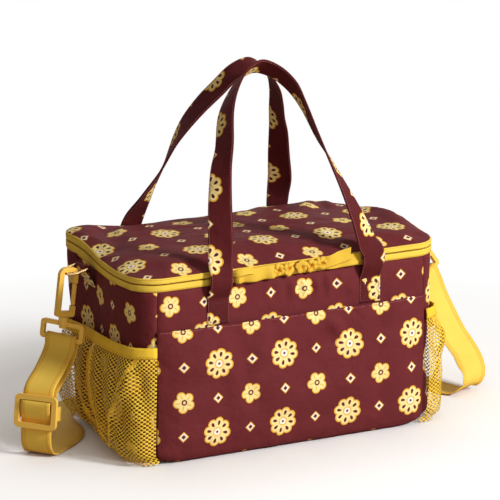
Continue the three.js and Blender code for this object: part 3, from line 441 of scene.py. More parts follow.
cloth = wovenCloth("printedCloth", printPlan["paints"]["ground"])
handleCloth = wovenCloth("handleCloth", srgb(90, 33, 36))
plainCloth = wovenCloth("plainMaroonCloth", srgb(88, 30, 34), printed=False)
webbing = ribbedWebbing("yellowWebbing", srgb(253, 211, 92), 1.6, 0.55, border=15.2, fold=0.008,
                        depth=srgb(222, 142, 24))
zipTape = ribbedWebbing("yellowZipTape", srgb(243, 210, 84), 0.9, 0.5)
bindingCloth = ribbedWebbing("yellowBinding", srgb(252, 208, 64), 1.1, 0.55)
ribbonCloth = ribbedWebbing("yellowRibbon", srgb(230, 190, 68), 1.3, 0.36, fold=0.007)
net = netCloth("yellowNet", srgb(255, 224, 76))
plastic = mouldedPlastic("yellowPlastic", srgb(253, 204, 86))
goldMetal = polishedGold("paleGold")
foamFinish = softFoam("whiteFoam")
linerFinish = linerFilm("silverLiner")
boardFinish = fibreBoard("brownBoard")
thread = sewingThread("pinkThread", srgb(178, 112, 110))
darkThread = sewingThread("maroonThread", srgb(92, 40, 44))
goldThread = sewingThread("goldThread", srgb(206, 150, 40))
coilFinish = mouldedPlastic("yellowCoil", srgb(226, 172, 40))
say("finishes made")


# Curves and meshes
def smooth(t):
    t = min(1.0, max(0.0, t))
    return t * t * (3 - 2 * t)


# A hill of height 1 that fades out on both sides
def bell(off, width):
    return math.exp(-(off / width) ** 2)


def spread(start, end, steps):
    return [start + (end - start) * i / steps for i in range(steps + 1)]


# The items before and after one of a list, or itself at the list's ends
def beside(items, i):
    return items[max(i - 1, 0)], items[min(i + 1, len(items) - 1)]


# Distance along a row of places from its start
def clothRun(points):
    run = [0.0]
    for a, b in zip(points, points[1:]):
        run.append(run[-1] + (b - a).length)
    return run


# Centripetal Catmull-Rom curve through all points, t from 0 to 1
def catmull(points, t):
    last = len(points) - 1
    place = t * last
    i = min(int(place), last - 1)
    w = place - i
    p1, p2 = points[i], points[i + 1]
    p0 = points[i - 1] if i > 0 else p1 * 2 - p2
    p3 = points[i + 2] if i + 2 <= last else p2 * 2 - p1
    d0, d1, d2 = (max((b - a).length ** 0.5, 1e-5) for a, b in ((p0, p1), (p1, p2), (p2, p3)))
    m1 = ((p1 - p0) / d0 - (p2 - p0) / (d0 + d1) + (p2 - p1) / d1) * d1
    m2 = ((p2 - p1) / d1 - (p3 - p1) / (d1 + d2) + (p3 - p2) / d2) * d1
    c2 = p1 * -3 + p2 * 3 - m1 * 2 - m2
    c3 = p1 * 2 - p2 * 2 + m1 + m2
    return p1 + m1 * w + c2 * w ** 2 + c3 * w ** 3


def makeMesh(name, points, faces, cuts, finish):
    mesh = bpy.data.meshes.new(name)
    mesh.from_pydata([tuple(p) for p in points], [], faces)
    if cuts is not None:
        layer = mesh.uv_layers.new(name="cut")
        for loop in mesh.loops:
            layer.data[loop.index].uv = cuts[loop.vertex_index]
    for polygon in mesh.polygons:
        polygon.use_smooth = True
    mesh.materials.append(finish)
    mesh.validate()
    return addObject(name, mesh)


# Turns the faces of a mesh outwards, after the change that is given
def faceOutwards(mesh, change=None):
    work = bmesh.new()
    work.from_mesh(mesh)
    if change:
        change(work)
    bmesh.ops.recalc_face_normals(work, faces=work.faces)
    work.to_mesh(mesh)
    work.free()


# What a piece rides on, the material slot, which is not used, and the CAD nodes it stands for
def seat(piece, body, slot=None, *nodes):
    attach(piece, body)
    if nodes:
        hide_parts(*nodes)
    return piece


# A sheet over a grid of columns and rows; shape(i, j) gives a place and its place on the cut cloth
def gridSheet(name, columns, rows, shape, finish, closed=False):
    points, cuts, faces = [], [], []
    for i in range(columns):
        for j in range(rows):
            point, cut = shape(i, j)
            points.append(point)
            cuts.append(cut)
    for i in range(columns if closed else columns - 1):
        for j in range(rows - 1):
            a, b = i * rows + j, (i + 1) % columns * rows + j
            faces.append((a, b, b + 1, a + 1))
    return makeMesh(name, points, faces, cuts, finish)


def thicken(piece, thickness, offset):
    solid = piece.modifiers.new("thickness", "SOLIDIFY")
    solid.thickness = thickness * mm
    solid.offset = offset
    return piece


# Faces round a row of rings with the same number of points; an open row gets a face at each end
def tubeFaces(count, ring, closed=False):
    faces = []
    for i in range(count if closed else count - 1):
        here, there = i * ring, (i + 1) % count * ring
        for k in range(ring):
            after = (k + 1) % ring
            faces.append((here + k, here + after, there + after, there + k))
    if not closed:
        faces.append(tuple(range(ring)))
        faces.append(tuple((count - 1) * ring + k for k in reversed(range(ring))))
    return faces


# The direction of a curve at a point and the width direction there, made square to each other
def alongAcross(points, widths, i):
    before, after = beside(points, i)
    along = (after - before).normalized()
    return along, (widths[i] - along * widths[i].dot(along)).normalized()


# A woven band with rounded edges, swept along points that carry a width direction. cutAt is where it was cut
# from the cloth: aside and along.
def bandMesh(name, points, widths, wide, thick, finish, rim, cutAt=(0.0, 0.0)):
    half, low = wide / 2, thick / 2
    inner = half - low * 0.6
    front = [(s, low) for s in [-inner] + spread(-half, half, rim)[1:-1] + [inner]]
    back = [(-s, -t) for s, t in front]
    section = front + [(half, 0.0)] + back + [(-half, 0.0)]
    run, verts, cuts = cutAt[1], [], []
    for i, point in enumerate(points):
        along, across = alongAcross(points, widths, i)
        face = across.cross(along)
        if i:
            run += (point - points[i - 1]).length
        for s, t in section:
            verts.append(point + across * s + face * t)
            cuts.append((s + cutAt[0], run))
    piece = makeMesh(name, verts, tubeFaces(len(points), len(section)), cuts, finish)
    faceOutwards(piece.data)
    return piece


# Stitches: short rounded threads laid end to end along lines of (place, outward direction). size is the
# length of one stitch, the gap to the next, its width and its height, in mm.
def stitchLine(name, lines, finish, size):
    stitch, gap, wide, high = size
    half = stitch * mm / 2
    profile = ((-1, 0.35), (-0.55, 1), (0.55, 1), (1, 0.35))      # along the stitch, and its thickness there
    turns = [turn * math.pi / 3 for turn in range(6)]
    oneStitch = tubeFaces(len(profile), len(turns))
    verts, faces = [], []
    for line in lines:
        run = clothRun([place for place, _ in line])
        at, k = 0.0, 0
        while at + stitch * mm < run[-1]:
            middle = at + half
            while k < len(run) - 2 and run[k + 1] < middle:
                k += 1
            (a, upA), (b, upB) = line[k], line[k + 1]
            w = (middle - run[k]) / max(run[k + 1] - run[k], 1e-9)
            point, up = a.lerp(b, w), upA.lerp(upB, w).normalized()
            along = (b - a).normalized()
            side = along.cross(up).normalized()
            faces += [tuple(len(verts) + corner for corner in face) for face in oneStitch]
            for s, share in profile:
                for turn in turns:
                    verts.append(point + along * half * s + side * (math.cos(turn) * wide * mm / 2 * share)
                                 + up * (math.sin(turn) * high * mm / 2 * share))
            at += (stitch + gap) * mm
    piece = makeMesh(name, verts, faces, None, finish)
    faceOutwards(piece.data)
    return piece


# The shoulder strap comes first: its route is the CAD's, point for point
strapPlan = {
    "wide": 38.0, "thick": 1.5, "step": 7.0, "wrapRadius": 4.76,
    # the eyes' bars that it wraps round, with the directions along, up and out from each
    "left": {"bar": (-222.11, 26.0, 121.22), "along": (-0.59552, 0.79968, 0.07312),
             "up": (0.12187, 0.0, 0.99255), "out": (-0.7937, -0.6004, 0.0975)},
    "right": {"bar": (256.33, 26.0, 132.67), "along": (0.77905, 0.30902, 0.54550),
              "up": (-0.57358, 0.0, 0.81915), "out": (0.25314, -0.95106, 0.17725)},
    # the hanging stretch turns away from the bag and a little forwards
    "hangingAcross": (-0.6, 0.8, 0), "hangingOut": (-0.8, -0.6, 0), "risingAcross": (0.94, 0.33, 0),
    "hanging": [(5, 115), (13, 106), (33, 91.5), (49, 83), (57, 76), (59.6, 69), (62.2, 52), (64.8, 35),
                (66.1, 25), (65, 13), (59.5, 4.4), (51, 1.3)],
    "sharedLayers": 6,
    "floor": [(-249, 6), (-228, 22), (-211, 40), (-200, 62), (-195, 88), (-187, 116), (-167, 140),
              (-138, 154), (-100, 160), (0, 162), (100, 160), (150, 156), (186, 142), (214, 117), (234, 84),
              (250, 45), (262, 10)],
    "floorLevel": 1.25,
    "rising": [(269, -13, 1.4), (275, -24, 4), (281, -30, 10), (287, -30, 19), (290.6, -24, 29),
               (290.2, -10, 45), (282, 0, 62), (274, 8, 82), (266.5, 17, 105)],
}


# A row of places moved towards the bag by a gap
def inwards(points, across, gap):
    moved = []
    for i, point in enumerate(points):
        before, after = beside(points, i)
        moved.append(point - across[i].cross((after - before).normalized()).normalized() * gap)
    return moved


# Five places round a bar, between two angles in degrees
def wrapPoints(eye, start, end):
    radius = strapPlan["wrapRadius"]
    turns = [math.radians(t) for t in spread(start, end, 4)]
    return [eye["bar"] + eye["out"] * radius * math.cos(t) + eye["up"] * radius * math.sin(t) for t in turns]


# The strap's middle line from its sewn end, in mm, with the direction of its width at each place
def strapCourse():
    plan = strapPlan
    left, right = ({key: Vector(value) for key, value in plan[side].items()} for side in ("left", "right"))
    across, out = Vector(plan["hangingAcross"]), Vector(plan["hangingOut"])
    hanging = [Vector((left["bar"].x + out.x * s, left["bar"].y + out.y * s, z)) for s, z in plan["hanging"]]
    shared = hanging[:plan["sharedLayers"]]
    rising = [Vector(p) for p in plan["rising"]]
    start, last = Vector(plan["risingAcross"]), len(rising) - 1
    risingAcross = [start.lerp(right["along"], min(1, i / (last - 1))) for i in range(last + 1)]
    tail = rising[-2:] + wrapPoints(right, -35, 0)[:1]
    end = inwards(tail, risingAcross[-2:] + [right["along"]], 2 * plan["wrapRadius"])

    course = [(p, across) for p in reversed(inwards(shared, [across] * len(shared), 2 * plan["wrapRadius"]))]
    course += [(p, left["along"]) for p in wrapPoints(left, 180, 0)]
    course += [(p, across) for p in hanging]
    floor = [Vector((x, y, plan["floorLevel"])) for x, y in plan["floor"]]
    for i, point in enumerate(floor):
        heading = (floor[i + 1] if i + 1 < len(floor) else rising[0]) - (floor[i - 1] if i else hanging[-1])
        course.append((point, Vector((-heading.y, heading.x, 0)).normalized()))
    course += list(zip(rising, risingAcross))
    course += [(p, right["along"]) for p in wrapPoints(right, -35, 180)]
    return course + [(end[1], risingAcross[-1]), (end[0], risingAcross[-2])]


# Points every step or so along a course, with the width direction at each
def sampleCourse(course, step):
    places = [p for p, _ in course]
    points, widths = [], []
    last = len(course) - 1
    for i in range(last):
        parts = max(1, round((places[i + 1] - places[i]).length / step))
        for k in range(parts):
            points.append(catmull(places, (i + k / parts) / last))
            widths.append(course[i][1].lerp(course[i + 1][1], k / parts))
    points.append(places[-1])
    widths.append(course[-1][1])
    return points, widths


def shoulderStrap():
    points, widths = sampleCourse(strapCourse(), strapPlan["step"])
    points = [p * mm for p in points]
    wide, thick = strapPlan["wide"] * mm, strapPlan["thick"] * mm
    strap = bandMesh("shoulderWebbing", points, widths, wide, thick, webbing, 8)
    seat(strap, "bag", "yellow_webbing", "shoulder_strap")
    clothRun(points)[-1]


# Moulded and cast parts: the CAD's own solid with its edges rounded
def dressPart(node, name, body, finish, slot, radius, segments=3):
    def tidyFaces(work):
        bmesh.ops.remove_doubles(work, verts=work.verts, dist=1e-6)
        bmesh.ops.dissolve_limit(work, angle_limit=math.radians(4), verts=work.verts, edges=work.edges)
        for face in work.faces:
            face.smooth = True
    mesh = frame["nodes"][node].data.copy()
    mesh.name = name
    faceOutwards(mesh, tidyFaces)
    mesh.materials.clear()
    mesh.materials.append(finish)
    piece = addObject(name, mesh)
    bevel = piece.modifiers.new("edges", "BEVEL")
    bevel.width = radius * mm
    bevel.segments = segments
    bevel.limit_method = "ANGLE"
    bevel.angle_limit = math.radians(35)
    bevel.harden_normals = False
    piece.modifiers.new("normals", "WEIGHTED_NORMAL")
    return seat(piece, body, slot, node)


# Each fitting's piece name, the body it rides on and the radius of its edges
hardware = {
    "left_hook": ("leftHook", "left_snap", 1.3),
    "right_hook": ("rightHook", "right_snap", 1.3),
    "left_hook_gate": ("leftHookGate", "left_gate", 0.9),
    "right_hook_gate": ("rightHookGate", "right_gate", 0.9),
    "left_strap_eye": ("leftStrapEye", "bag", 1.2),
    "right_strap_eye": ("rightStrapEye", "bag", 1.2),
    "strap_adjuster": ("strapAdjuster", "adjuster", 1.5),
    "left_zip_slider": ("leftSlider", "left_slider", 0.4),
    "right_zip_slider": ("rightSlider", "right_slider", 0.4),
}
dressed = {node: dressPart(node, name, body, plastic, "yellow_plastic", radius)
           for node, (name, body, radius) in hardware.items()}


# The strap's doubled end round the adjuster's centre bar
def sewnEnd():
    piece = dressPart("strap_end_loop", "strapSewnEnd", "adjuster", webbing, "yellow_webbing", 0.3, 2)
    across = strapPlan["hangingAcross"]
    mesh = piece.data
    layer = mesh.uv_layers.new(name="cut")
    for loop in mesh.loops:
        point = mesh.vertices[loop.vertex_index].co
        layer.data[loop.index].uv = (across[0] * point.x + across[1] * point.y, point.z)
    return piece


dressed["strap_end_loop"] = sewnEnd()
shoulderStrap()


# The webbing stands out between the adjuster's rails, where it laps over its own fold
adjusterLap = {
    "middle": (-271.87, -11.32, 52.0), "up": (-0.12, -0.09, 1), "half": 12.6, "out": 4.6, "wide": 37,
    "thick": 1.3,
}


def adjusterFold():
    plan = adjusterLap
    middle, up = Vector(plan["middle"]), Vector(plan["up"]).normalized()
    out, across = Vector(strapPlan["hangingOut"]), Vector(strapPlan["hangingAcross"])
    points = [(middle + up * plan["half"] * math.sin(a) + out * (0.2 + plan["out"] * math.cos(a) ** 0.8)) * mm
              for a in spread(-1.5, 1.5, 18)]
    wide, thick = plan["wide"] * mm, plan["thick"] * mm
    piece = bandMesh("adjusterFold", points, [across] * len(points), wide, thick, webbing, 8)
    seat(piece, "adjuster", "yellow_webbing")


adjusterFold()
say("shoulder strap and fittings made")


# The bag's plan outline, the same as the CAD's
bag = {
    "seamHalf": 171.0, "depth": 222.0, "height": 199.0, "corner": 32.0, "swellTop": 21.0, "swellBottom": 13.0,
    "backTaper": 0.0525, "taperStart": -60.0, "taperEnd": 50.0, "baseRound": 12.0, "tuckSide": 20.0,
    "tuckFront": 7.0, "bandTop": 215.0, "panelThick": 1.1, "baseThick": 1.0,
}
mouth = bag["height"]


# The name of the bag's side, -1 or 1
def sideName(side):
    return "left" if side < 0 else "right"


def swell(z):
    share = min(max(z / bag["height"], 0), 1)
    return bag["swellBottom"] + (bag["swellTop"] - bag["swellBottom"]) * share


def outlineSize(z):
    tuck = (1 - z / bag["baseRound"]) ** 2 if z < bag["baseRound"] else 0
    return bag["seamHalf"] + swell(z) - bag["tuckSide"] * tuck, bag["depth"] / 2 - bag["tuckFront"] * tuck


def narrow(y):
    return 1 - bag["backTaper"] * smooth((y - bag["taperStart"]) / (bag["taperEnd"] - bag["taperStart"]))


def seamShare(z):
    return math.asin((bag["corner"] - swell(z)) / bag["corner"]) / (math.pi / 2)


# A place on the outline: k runs round the bag from 0 to 8, with a whole number at each end of a flat or a
# corner, from the left end of the front
def around(k, z, out=0.0):
    k %= 8
    wide, deep = outlineSize(z)
    r = bag["corner"]
    part, f = int(k), k - int(k)
    corners = {1: (1, -1), 3: (1, 1), 5: (-1, 1), 7: (-1, -1)}
    if part in corners:
        sx, sy = corners[part]
        turn = f if part in (1, 5) else 1 - f
        a = turn * math.pi / 2
        x = sx * (wide - r + (r + out) * math.sin(a))
        y = sy * (deep - r + (r + out) * math.cos(a))
    elif part == 0:
        x, y = (wide - r) * (2 * f - 1), -(deep + out)
    elif part == 4:
        x, y = (wide - r) * (1 - 2 * f), deep + out
    elif part == 2:
        x, y = wide + out, (deep - r) * (2 * f - 1)
    else:
        x, y = -(wide + out), (deep - r) * (1 - 2 * f)
    return Vector((x * narrow(y), y, z))


def outward(k, z):
    a, b = around(k - 0.01, z), around(k + 0.01, z)
    along = (b - a).normalized()
    return Vector((along.y, -along.x, 0))


# The mouth isn't level: it rises along the right side and towards the back left corner, and dips a little
# at the front left. The band's top has its own line at the left.
def mouthLift(x, y, z=mouth):
    low = 8.5 * smooth((y - 20) / 80) - 1.6 * bell(y + 35, 45)
    high = 10.6 * smooth((y + 5) / 75) - 1.4 * bell(y + 50, 42)
    share = min(1, max(0, (z - mouth) / 15.5))
    right = 12.5 * bell(y + 5, 50)
    return smooth((-x - 60) / 110) * (low + (high - low) * share) + smooth((x - 96) / 84) * right


# The rise fades out down the sides; the back left corner also stands out a little
def lifted(point):
    x, y, z = point
    push = 3.4 * smooth((-x - 128) / 44) * smooth((y - 40) / 60) * smooth((z - 90) / 80)
    return Vector((x - push * 0.8, y + push * 0.35, z + mouthLift(x, y, z) * smooth((z - 120) / 79)))


# Smooth noise from -1 to 1
def soft(point, scale, seed):
    return noise.noise(point * scale + Vector((seed * 7.3, seed * 3.1, seed * 5.7)))


# Each body panel: its piece, where it was cut from the cloth, the seed of its folds, its place round the bag
# and how many steps its flat has
panels = {
    "front_panel": {"piece": "frontPanel", "cut": 0.030, "seed": 2, "flat": 0, "steps": 84},
    "right_side_panel": {"piece": "rightSidePanel", "cut": 0.011, "seed": 4, "flat": 2, "steps": 46},
    "back_panel": {"piece": "backPanel", "cut": 0.02, "seed": 1, "flat": 4, "steps": 84},
    "left_side_panel": {"piece": "leftSidePanel", "cut": 0.047, "seed": 3, "flat": 6, "steps": 46},
}


# Places round the bag for one panel at height z, from seam to seam: some on each rounded corner, the rest on
# its flat
def panelStops(node, z, corner=9):
    plan, seam = panels[node], seamShare(z)
    flat = plan["flat"]
    if "side" in node:
        start, end = flat - 1 + seam, flat + 2 - seam
    else:
        start, end = flat - seam, flat + 1 + seam
    middle = spread(flat, flat + 1, plan["steps"])
    return spread(start, flat, corner)[:-1] + middle + spread(flat + 1, end, corner)[1:]


# One row of a panel: each place, the direction outwards there and the distance run along the cloth
def panelRow(node, z):
    stops = panelStops(node, z)
    places = [around(k, z) for k in stops]
    return list(zip(places, [outward(k, z) for k in stops], clothRun(places)))


# Cloth simulation: a panel cut a little larger than its place and sewn down at its rim finds its own folds.
# Each point may sink by its room and rise by the rise, in mm.
settling = {"frames": 12, "quality": 4, "pressure": 4.0, "slack": 0.006, "sideways": 0.5, "leastRoom": 0.01}


def settle(piece, room, rise):
    sheet = addObject("settlingSheet", piece.data.copy())
    uses = {}
    for face in sheet.data.polygons:
        for key in face.edge_keys:
            uses[key] = uses.get(key, 0) + 1
    sewn = sheet.vertex_groups.new(name="sewn")
    sewn.add(sorted({point for key, count in uses.items() if count == 1 for point in key}), 1.0, "REPLACE")
    fabric = sheet.modifiers.new("settle", "CLOTH")
    fabric.collision_settings.use_collision = False
    fabric.settings.quality = settling["quality"]
    fabric.settings.use_pressure = True
    fabric.settings.uniform_pressure_force = settling["pressure"]
    fabric.settings.shrink_min = -settling["slack"]
    fabric.settings.vertex_group_mass = "sewn"
    fabric.settings.effector_weights.gravity = 0
    for step in range(1, settling["frames"] + 1):
        bpy.context.scene.frame_set(step)
    settled = sheet.evaluated_get(bpy.context.evaluated_depsgraph_get())
    places = [vert.co.copy() for vert in settled.to_mesh().vertices]
    settled.to_mesh_clear()
    normals = [vert.normal.copy() for vert in piece.data.vertices]
    for vert, place, normal, sink in zip(piece.data.vertices, places, normals, room):
        move = place - vert.co
        off = move.dot(normal) / mm
        limit = rise if off > 0 else max(sink, settling["leastRoom"])
        held = limit * math.tanh(off / limit)
        vert.co += (move - normal * off * mm) * settling["sideways"] + normal * held * mm
    bpy.data.objects.remove(sheet)
    bpy.context.scene.frame_set(1)
    piece.data.update()


# A sheet that follows one panel; relief(place, run, length) gives how far it stands off, in mm
def panelSheet(name, node, heights, relief, cutAt):
    rows = []
    for z in heights:
        row = panelRow(node, z)
        length = row[-1][2]
        rows.append([(lifted(place + out * relief(place, run, length)), run - length / 2)
                     for place, out, run in row])

    def shape(i, j):
        place, across = rows[j][i]
        return place * mm, (across * mm + cutAt[0], heights[j] * mm + cutAt[1])
    return gridSheet(name, len(rows[0]), len(heights), shape, cloth)


# How far the padded cloth stands off its flat shape: pulled in at the seams, with slack folds between
def panelRelief(node, place, run, length):
    seed = panels[node]["seed"]
    toSeam = min(run, length - run)
    pull = -0.9 * bell(toSeam, 3.0)
    slack = 2.2 * soft(place, 0.012, seed) + 1.2 * soft(place, 0.03, seed + 1)
    if node == "front_panel":
        # puckers below the zip, where the pulls hang
        near = bell(place.x - 22, 46) * smooth((place.z - 164) / 18)
        slack += 1.0 + near * (1.3 + 2.6 * math.sin(place.x * 0.4 + 0.05 * place.z))
        slack += 2.6 * bell(place.x - 66 + (place.z - 190) * 0.3, 7) * smooth((place.z - 156) / 20)
    fadeIn = smooth(toSeam / 18) * smooth((place.z - 6) / 20) * smooth((mouth + 2 - place.z) / 14)
    zipPull = -0.5 * bell(mouth - place.z, 4)
    sag = sideSag(place) if "side" in node else 0
    return pull + max(-0.7, slack * fadeIn) + zipPull + sag


# The filled bag sags: its sides stand out low down, most towards the front
def sideSag(place):
    low = smooth((74 - place.z) / 58) * smooth((place.z - 3) / 12)
    return 6.0 * low * smooth((60 - place.y) / 120) * smooth((place.y + 111) / 26)


def bodyPanel(node):
    heights = [4.0, 5.5, 7.5, 10.0] + spread(13, mouth, 50)
    cut = panels[node]["cut"]

    def relief(place, run, length):
        return panelRelief(node, place, run, length)
    piece = panelSheet(panels[node]["piece"], node, heights, relief, (cut, cut * 0.6))
    thicken(piece, bag["panelThick"], -1)
    seat(piece, "bag", "bag_fabric", node)


# The base panel: rings of a height and a share of the outline there, from its seam to its middle
def basePanel():
    stops = spread(0, 8, 160)[:-1]
    rings = [(6.0, 1.0), (4.0, 1.0), (2.4, 1.0), (1.2, 1.0), (0.5, 0.998), (0.0, 0.985), (0.0, 0.6),
             (0.0, 0.05)]

    def shape(i, j):
        z, share = rings[j]
        edge = around(stops[i], z)
        x, y = edge.x * share, edge.y * share
        return Vector((x, y, z)) * mm, (x * mm, y * mm)
    piece = gridSheet("basePanel", len(stops), len(rings), shape, cloth, closed=True)
    thicken(piece, bag["baseThick"], -1)
    seat(piece, "bag", "bag_fabric", "base_panel")


for node in panels:
    bodyPanel(node)
basePanel()
say("body panels made")


# Front slip pocket: hangs from its hem, bows off the bag and creases below the handle ends. A handle fold is
# a place on the hem and a slope; a slack fold is a place, a slope, a height, a width, and the height where it
# starts to fade in and over how far.
pocket = {
    "hem": 154.0, "foot": 2.5, "gape": 5.4, "edgeRoom": 0.28, "thick": 1.3, "stitches": 152.4,
    "handleFolds": ((-97, 0.22), (97, -0.3)),
    "slackFolds": ((40, 0.55, 4.2, 8, 90, 40), (-34, -0.35, 3.2, 9, 70, 50)),
}


def pocketOut(x, z):
    plan, drop = pocket, pocket["hem"] - z
    across = smooth((1 - abs(x) / bag["seamHalf"]) / plan["edgeRoom"])
    bow = plan["gape"] * across * smooth((z - 7) / (plan["hem"] * 0.55))
    folds = 0.0
    for foot, slope in plan["handleFolds"]:
        lean = x - foot - drop * slope
        folds += 2.2 * bell(lean, 9) * smooth(drop / 16) * smooth((z - 30) / 60)
        folds -= 1.8 * bell(lean - 20, 12) * smooth(drop / 20) * smooth((z - 20) / 70)
    dent = -2.6 * math.exp(-((x - 30 - (z - 100) * 0.5) / 34) ** 2 - ((z - 100) / 45) ** 2)
    pucker = 0.45 * math.sin(x * 0.42) * bell(drop, 7)
    flat = Vector((x, 0, z))
    slack = 3.0 * soft(flat, 0.014, 11) + 2.2 * soft(flat, 0.034, 12)
    for foot, slope, tall, wide, low, fadeOver in plan["slackFolds"]:
        ridge = tall * bell(x - foot - drop * slope, wide)
        slack += ridge * smooth((150 - z) / 14) * smooth((z - low) / fadeOver)
    return bow + (folds + dent + slack + pucker) * smooth((bag["seamHalf"] - abs(x)) / 16)


def pocketRelief(place, run, length):
    seam = min(run, length - run)
    out = 0.9 + max(-0.1, pocketOut(place.x, place.z)) - 0.7 * bell(seam, 3)
    return out + 0.25 * bell(149.5 - place.z, 1.2)      # the ridge over the turned hem


def frontPocket():
    heights = [pocket["foot"], 4.0, 6.0, 8.5, 12.0] + spread(16, 146, 44) + [149.0, 151.5, 153.2, 153.9]
    piece = panelSheet("frontPocket", "front_panel", heights, pocketRelief, (0.017, 0.048))
    room = [0.3 + max(0.0, pocketOut(vert.co.x / mm, vert.co.z / mm)) for vert in piece.data.vertices]
    settle(piece, room, 2.6)
    thicken(piece, pocket["thick"], 1)
    seat(piece, "bag", "bag_fabric", "front_pocket")
    row = panelRow("front_panel", pocket["stitches"])
    line = [((place + out * (pocketRelief(place, run, row[-1][2]) + 1.45)) * mm, out)
            for place, out, run in row[2:-2]]
    seat(stitchLine("pocketHemStitches", [line], thread, (2.4, 0.9, 0.5, 0.4)), "bag")


frontPocket()
say("front pocket made")


# Zip band: woven tapes with a rounded edge at the groove, coils behind them. A tape's section runs in places
# (out, height); a coil has its height and where its first tooth stands.
zipPlan = {
    "backEnd": 120.0,
    "lower": {
        "body": "bag", "stitches": 200.6, "coil": 206.2, "firstTooth": 0.0,
        "section": [(-0.9, 199.3), (0.1, 199.2), (0.75, 200.2), (0.95, 202.5), (1.0, 205.0), (0.9, 206.3),
                    (0.45, 206.8), (-0.9, 206.7)],
    },
    "upper": {
        "body": "lid", "stitches": 213.2, "coil": 208.8, "firstTooth": 1.0,
        "section": [(-0.9, 208.2), (0.45, 208.2), (0.9, 208.7), (1.0, 210.2), (0.95, 212.6), (0.75, 214.0),
                    (0.2, 214.6), (-0.9, 214.6)],
    },
}


def bandStops():
    flatHalf = bag["seamHalf"] + bag["swellTop"] - bag["corner"]
    back = 0.5 - zipPlan["backEnd"] / (2 * flatHalf) / narrow(bag["depth"] / 2)
    return spread(5 - back, 8, 150) + spread(8, 12 + back, 150)[1:]


# A place at the bag's top outline, at height z and a distance out from it, in mm
def bandPlace(k, z, out):
    rim = around(k, mouth)
    return lifted(Vector((rim.x, rim.y, z))) + outward(k, mouth) * out


# A strip with a closed section of (out, height) places, run round the bag's top outline
def bandAround(name, section, stops, finish, body, node, slot, relief):
    run = clothRun([around(k, mouth) for k in stops])
    turned = clothRun([Vector(place) for place in section])
    verts, cuts = [], []
    for k, along in zip(stops, run):
        for (out, z), across in zip(section, turned):
            verts.append(bandPlace(k, z, out + relief(along, z)) * mm)
            cuts.append((across * mm, along * mm))
    piece = makeMesh(name, verts, tubeFaces(len(stops), len(section)), cuts, finish)
    faceOutwards(piece.data)
    seat(piece, body, slot, node)


def zipBand():
    stops = bandStops()
    dense = [k for a, b in zip(stops, stops[1:]) for k in spread(a, b, 6)[:-1]]
    halves = [(half, zipPlan[half], zipPlan[half]["body"]) for half in ("lower", "upper")]

    def ripple(run, z):
        return 0.25 * noise.noise(Vector((run * 0.05, z * 0.05, 2.0)))
    for half, plan, body in halves:
        bandAround(f"{half}ZipTape", plan["section"], stops, zipTape, body, f"{half}_zip_tape",
                   "yellow_webbing", ripple)
    # stitching that holds the tapes to the bag and to the lid
    for half, plan, body in halves:
        line = [(bandPlace(k, plan["stitches"], 0.95) * mm, outward(k, mouth)) for k in stops[4:-4]]
        seat(stitchLine(f"{half}TapeStitches", [line], goldThread, (2.4, 1.0, 0.5, 0.35)), body)
    # coils, one tooth every 2 mm, staggered
    for half, plan, body in halves:
        def tooth(run, z):
            return 0.2 * math.sin((run + plan["firstTooth"]) * math.pi) - 0.2
        z = plan["coil"]
        section = [(-2.4, z - 0.6), (-1.4, z - 0.6), (-1.2, z), (-1.4, z + 0.6), (-2.4, z + 0.6)]
        bandAround(f"{half}ZipCoil", section, dense, coilFinish, body, f"{half}_zip_coil", "zip_coil", tooth)


zipBand()
say("zip band made")


# Lid: a padded dome, its cloth pulled down to the tape all round. Each fold is a place, a length, a width,
# a turn in radians and a height.
lid = {
    "edge": 214.7, "dome": 13.0, "power": 3.0, "rings": 46,
    "folds": ((112, 62, 46, 8, 0.9, 4.2), (146, 70, 40, 7, 1.2, 3.8), (60, 84, 50, 8, 0.4, 2.2),
              (20, 88, 50, 8, 0.15, 1.8), (-60, 84, 60, 10, -0.2, 1.6), (120, -58, 46, 12, 0.25, -2.4),
              (-120, 40, 55, 12, 1.1, 1.4), (60, -84, 40, 9, 0.1, -1.5), (-20, -70, 55, 14, -0.2, 1.2)),
}


def lidFolds(x, y):
    folds = 0.0
    for foldX, foldY, long, wide, turn, tall in lid["folds"]:
        dx, dy = x - foldX, y - foldY
        along = dx * math.cos(turn) + dy * math.sin(turn)
        across = dy * math.cos(turn) - dx * math.sin(turn)
        folds += tall * math.exp(-(along / long) ** 2 - (across / wide) ** 2)
    return folds


# How far the lid's cloth stands over its dome, where share is 1 at the edge and 0 in the middle
def lidRise(k, x, y, share):
    inner = 1 - share
    fade = smooth(inner / 0.1)
    flat = Vector((x, y, 0))
    slack = 1.5 * soft(flat, 0.011, 21) + 0.9 * soft(flat, 0.03, 22) + lidFolds(x, y)
    # short puckers where the cloth is gathered into the tape
    pucker = 0.7 * noise.noise(Vector((k * 60 * 0.3, share * 6, 4))) * bell(inner, 0.07)
    return 0.9 * smooth(inner / 0.02) + max(slack * fade + 0.9, -0.1) * fade + pucker


# Where the lid's cloth was cut, for a place on it in metres
def lidCut(x, y):
    return x * 1.01 + 0.012, y * 1.03 - 0.017


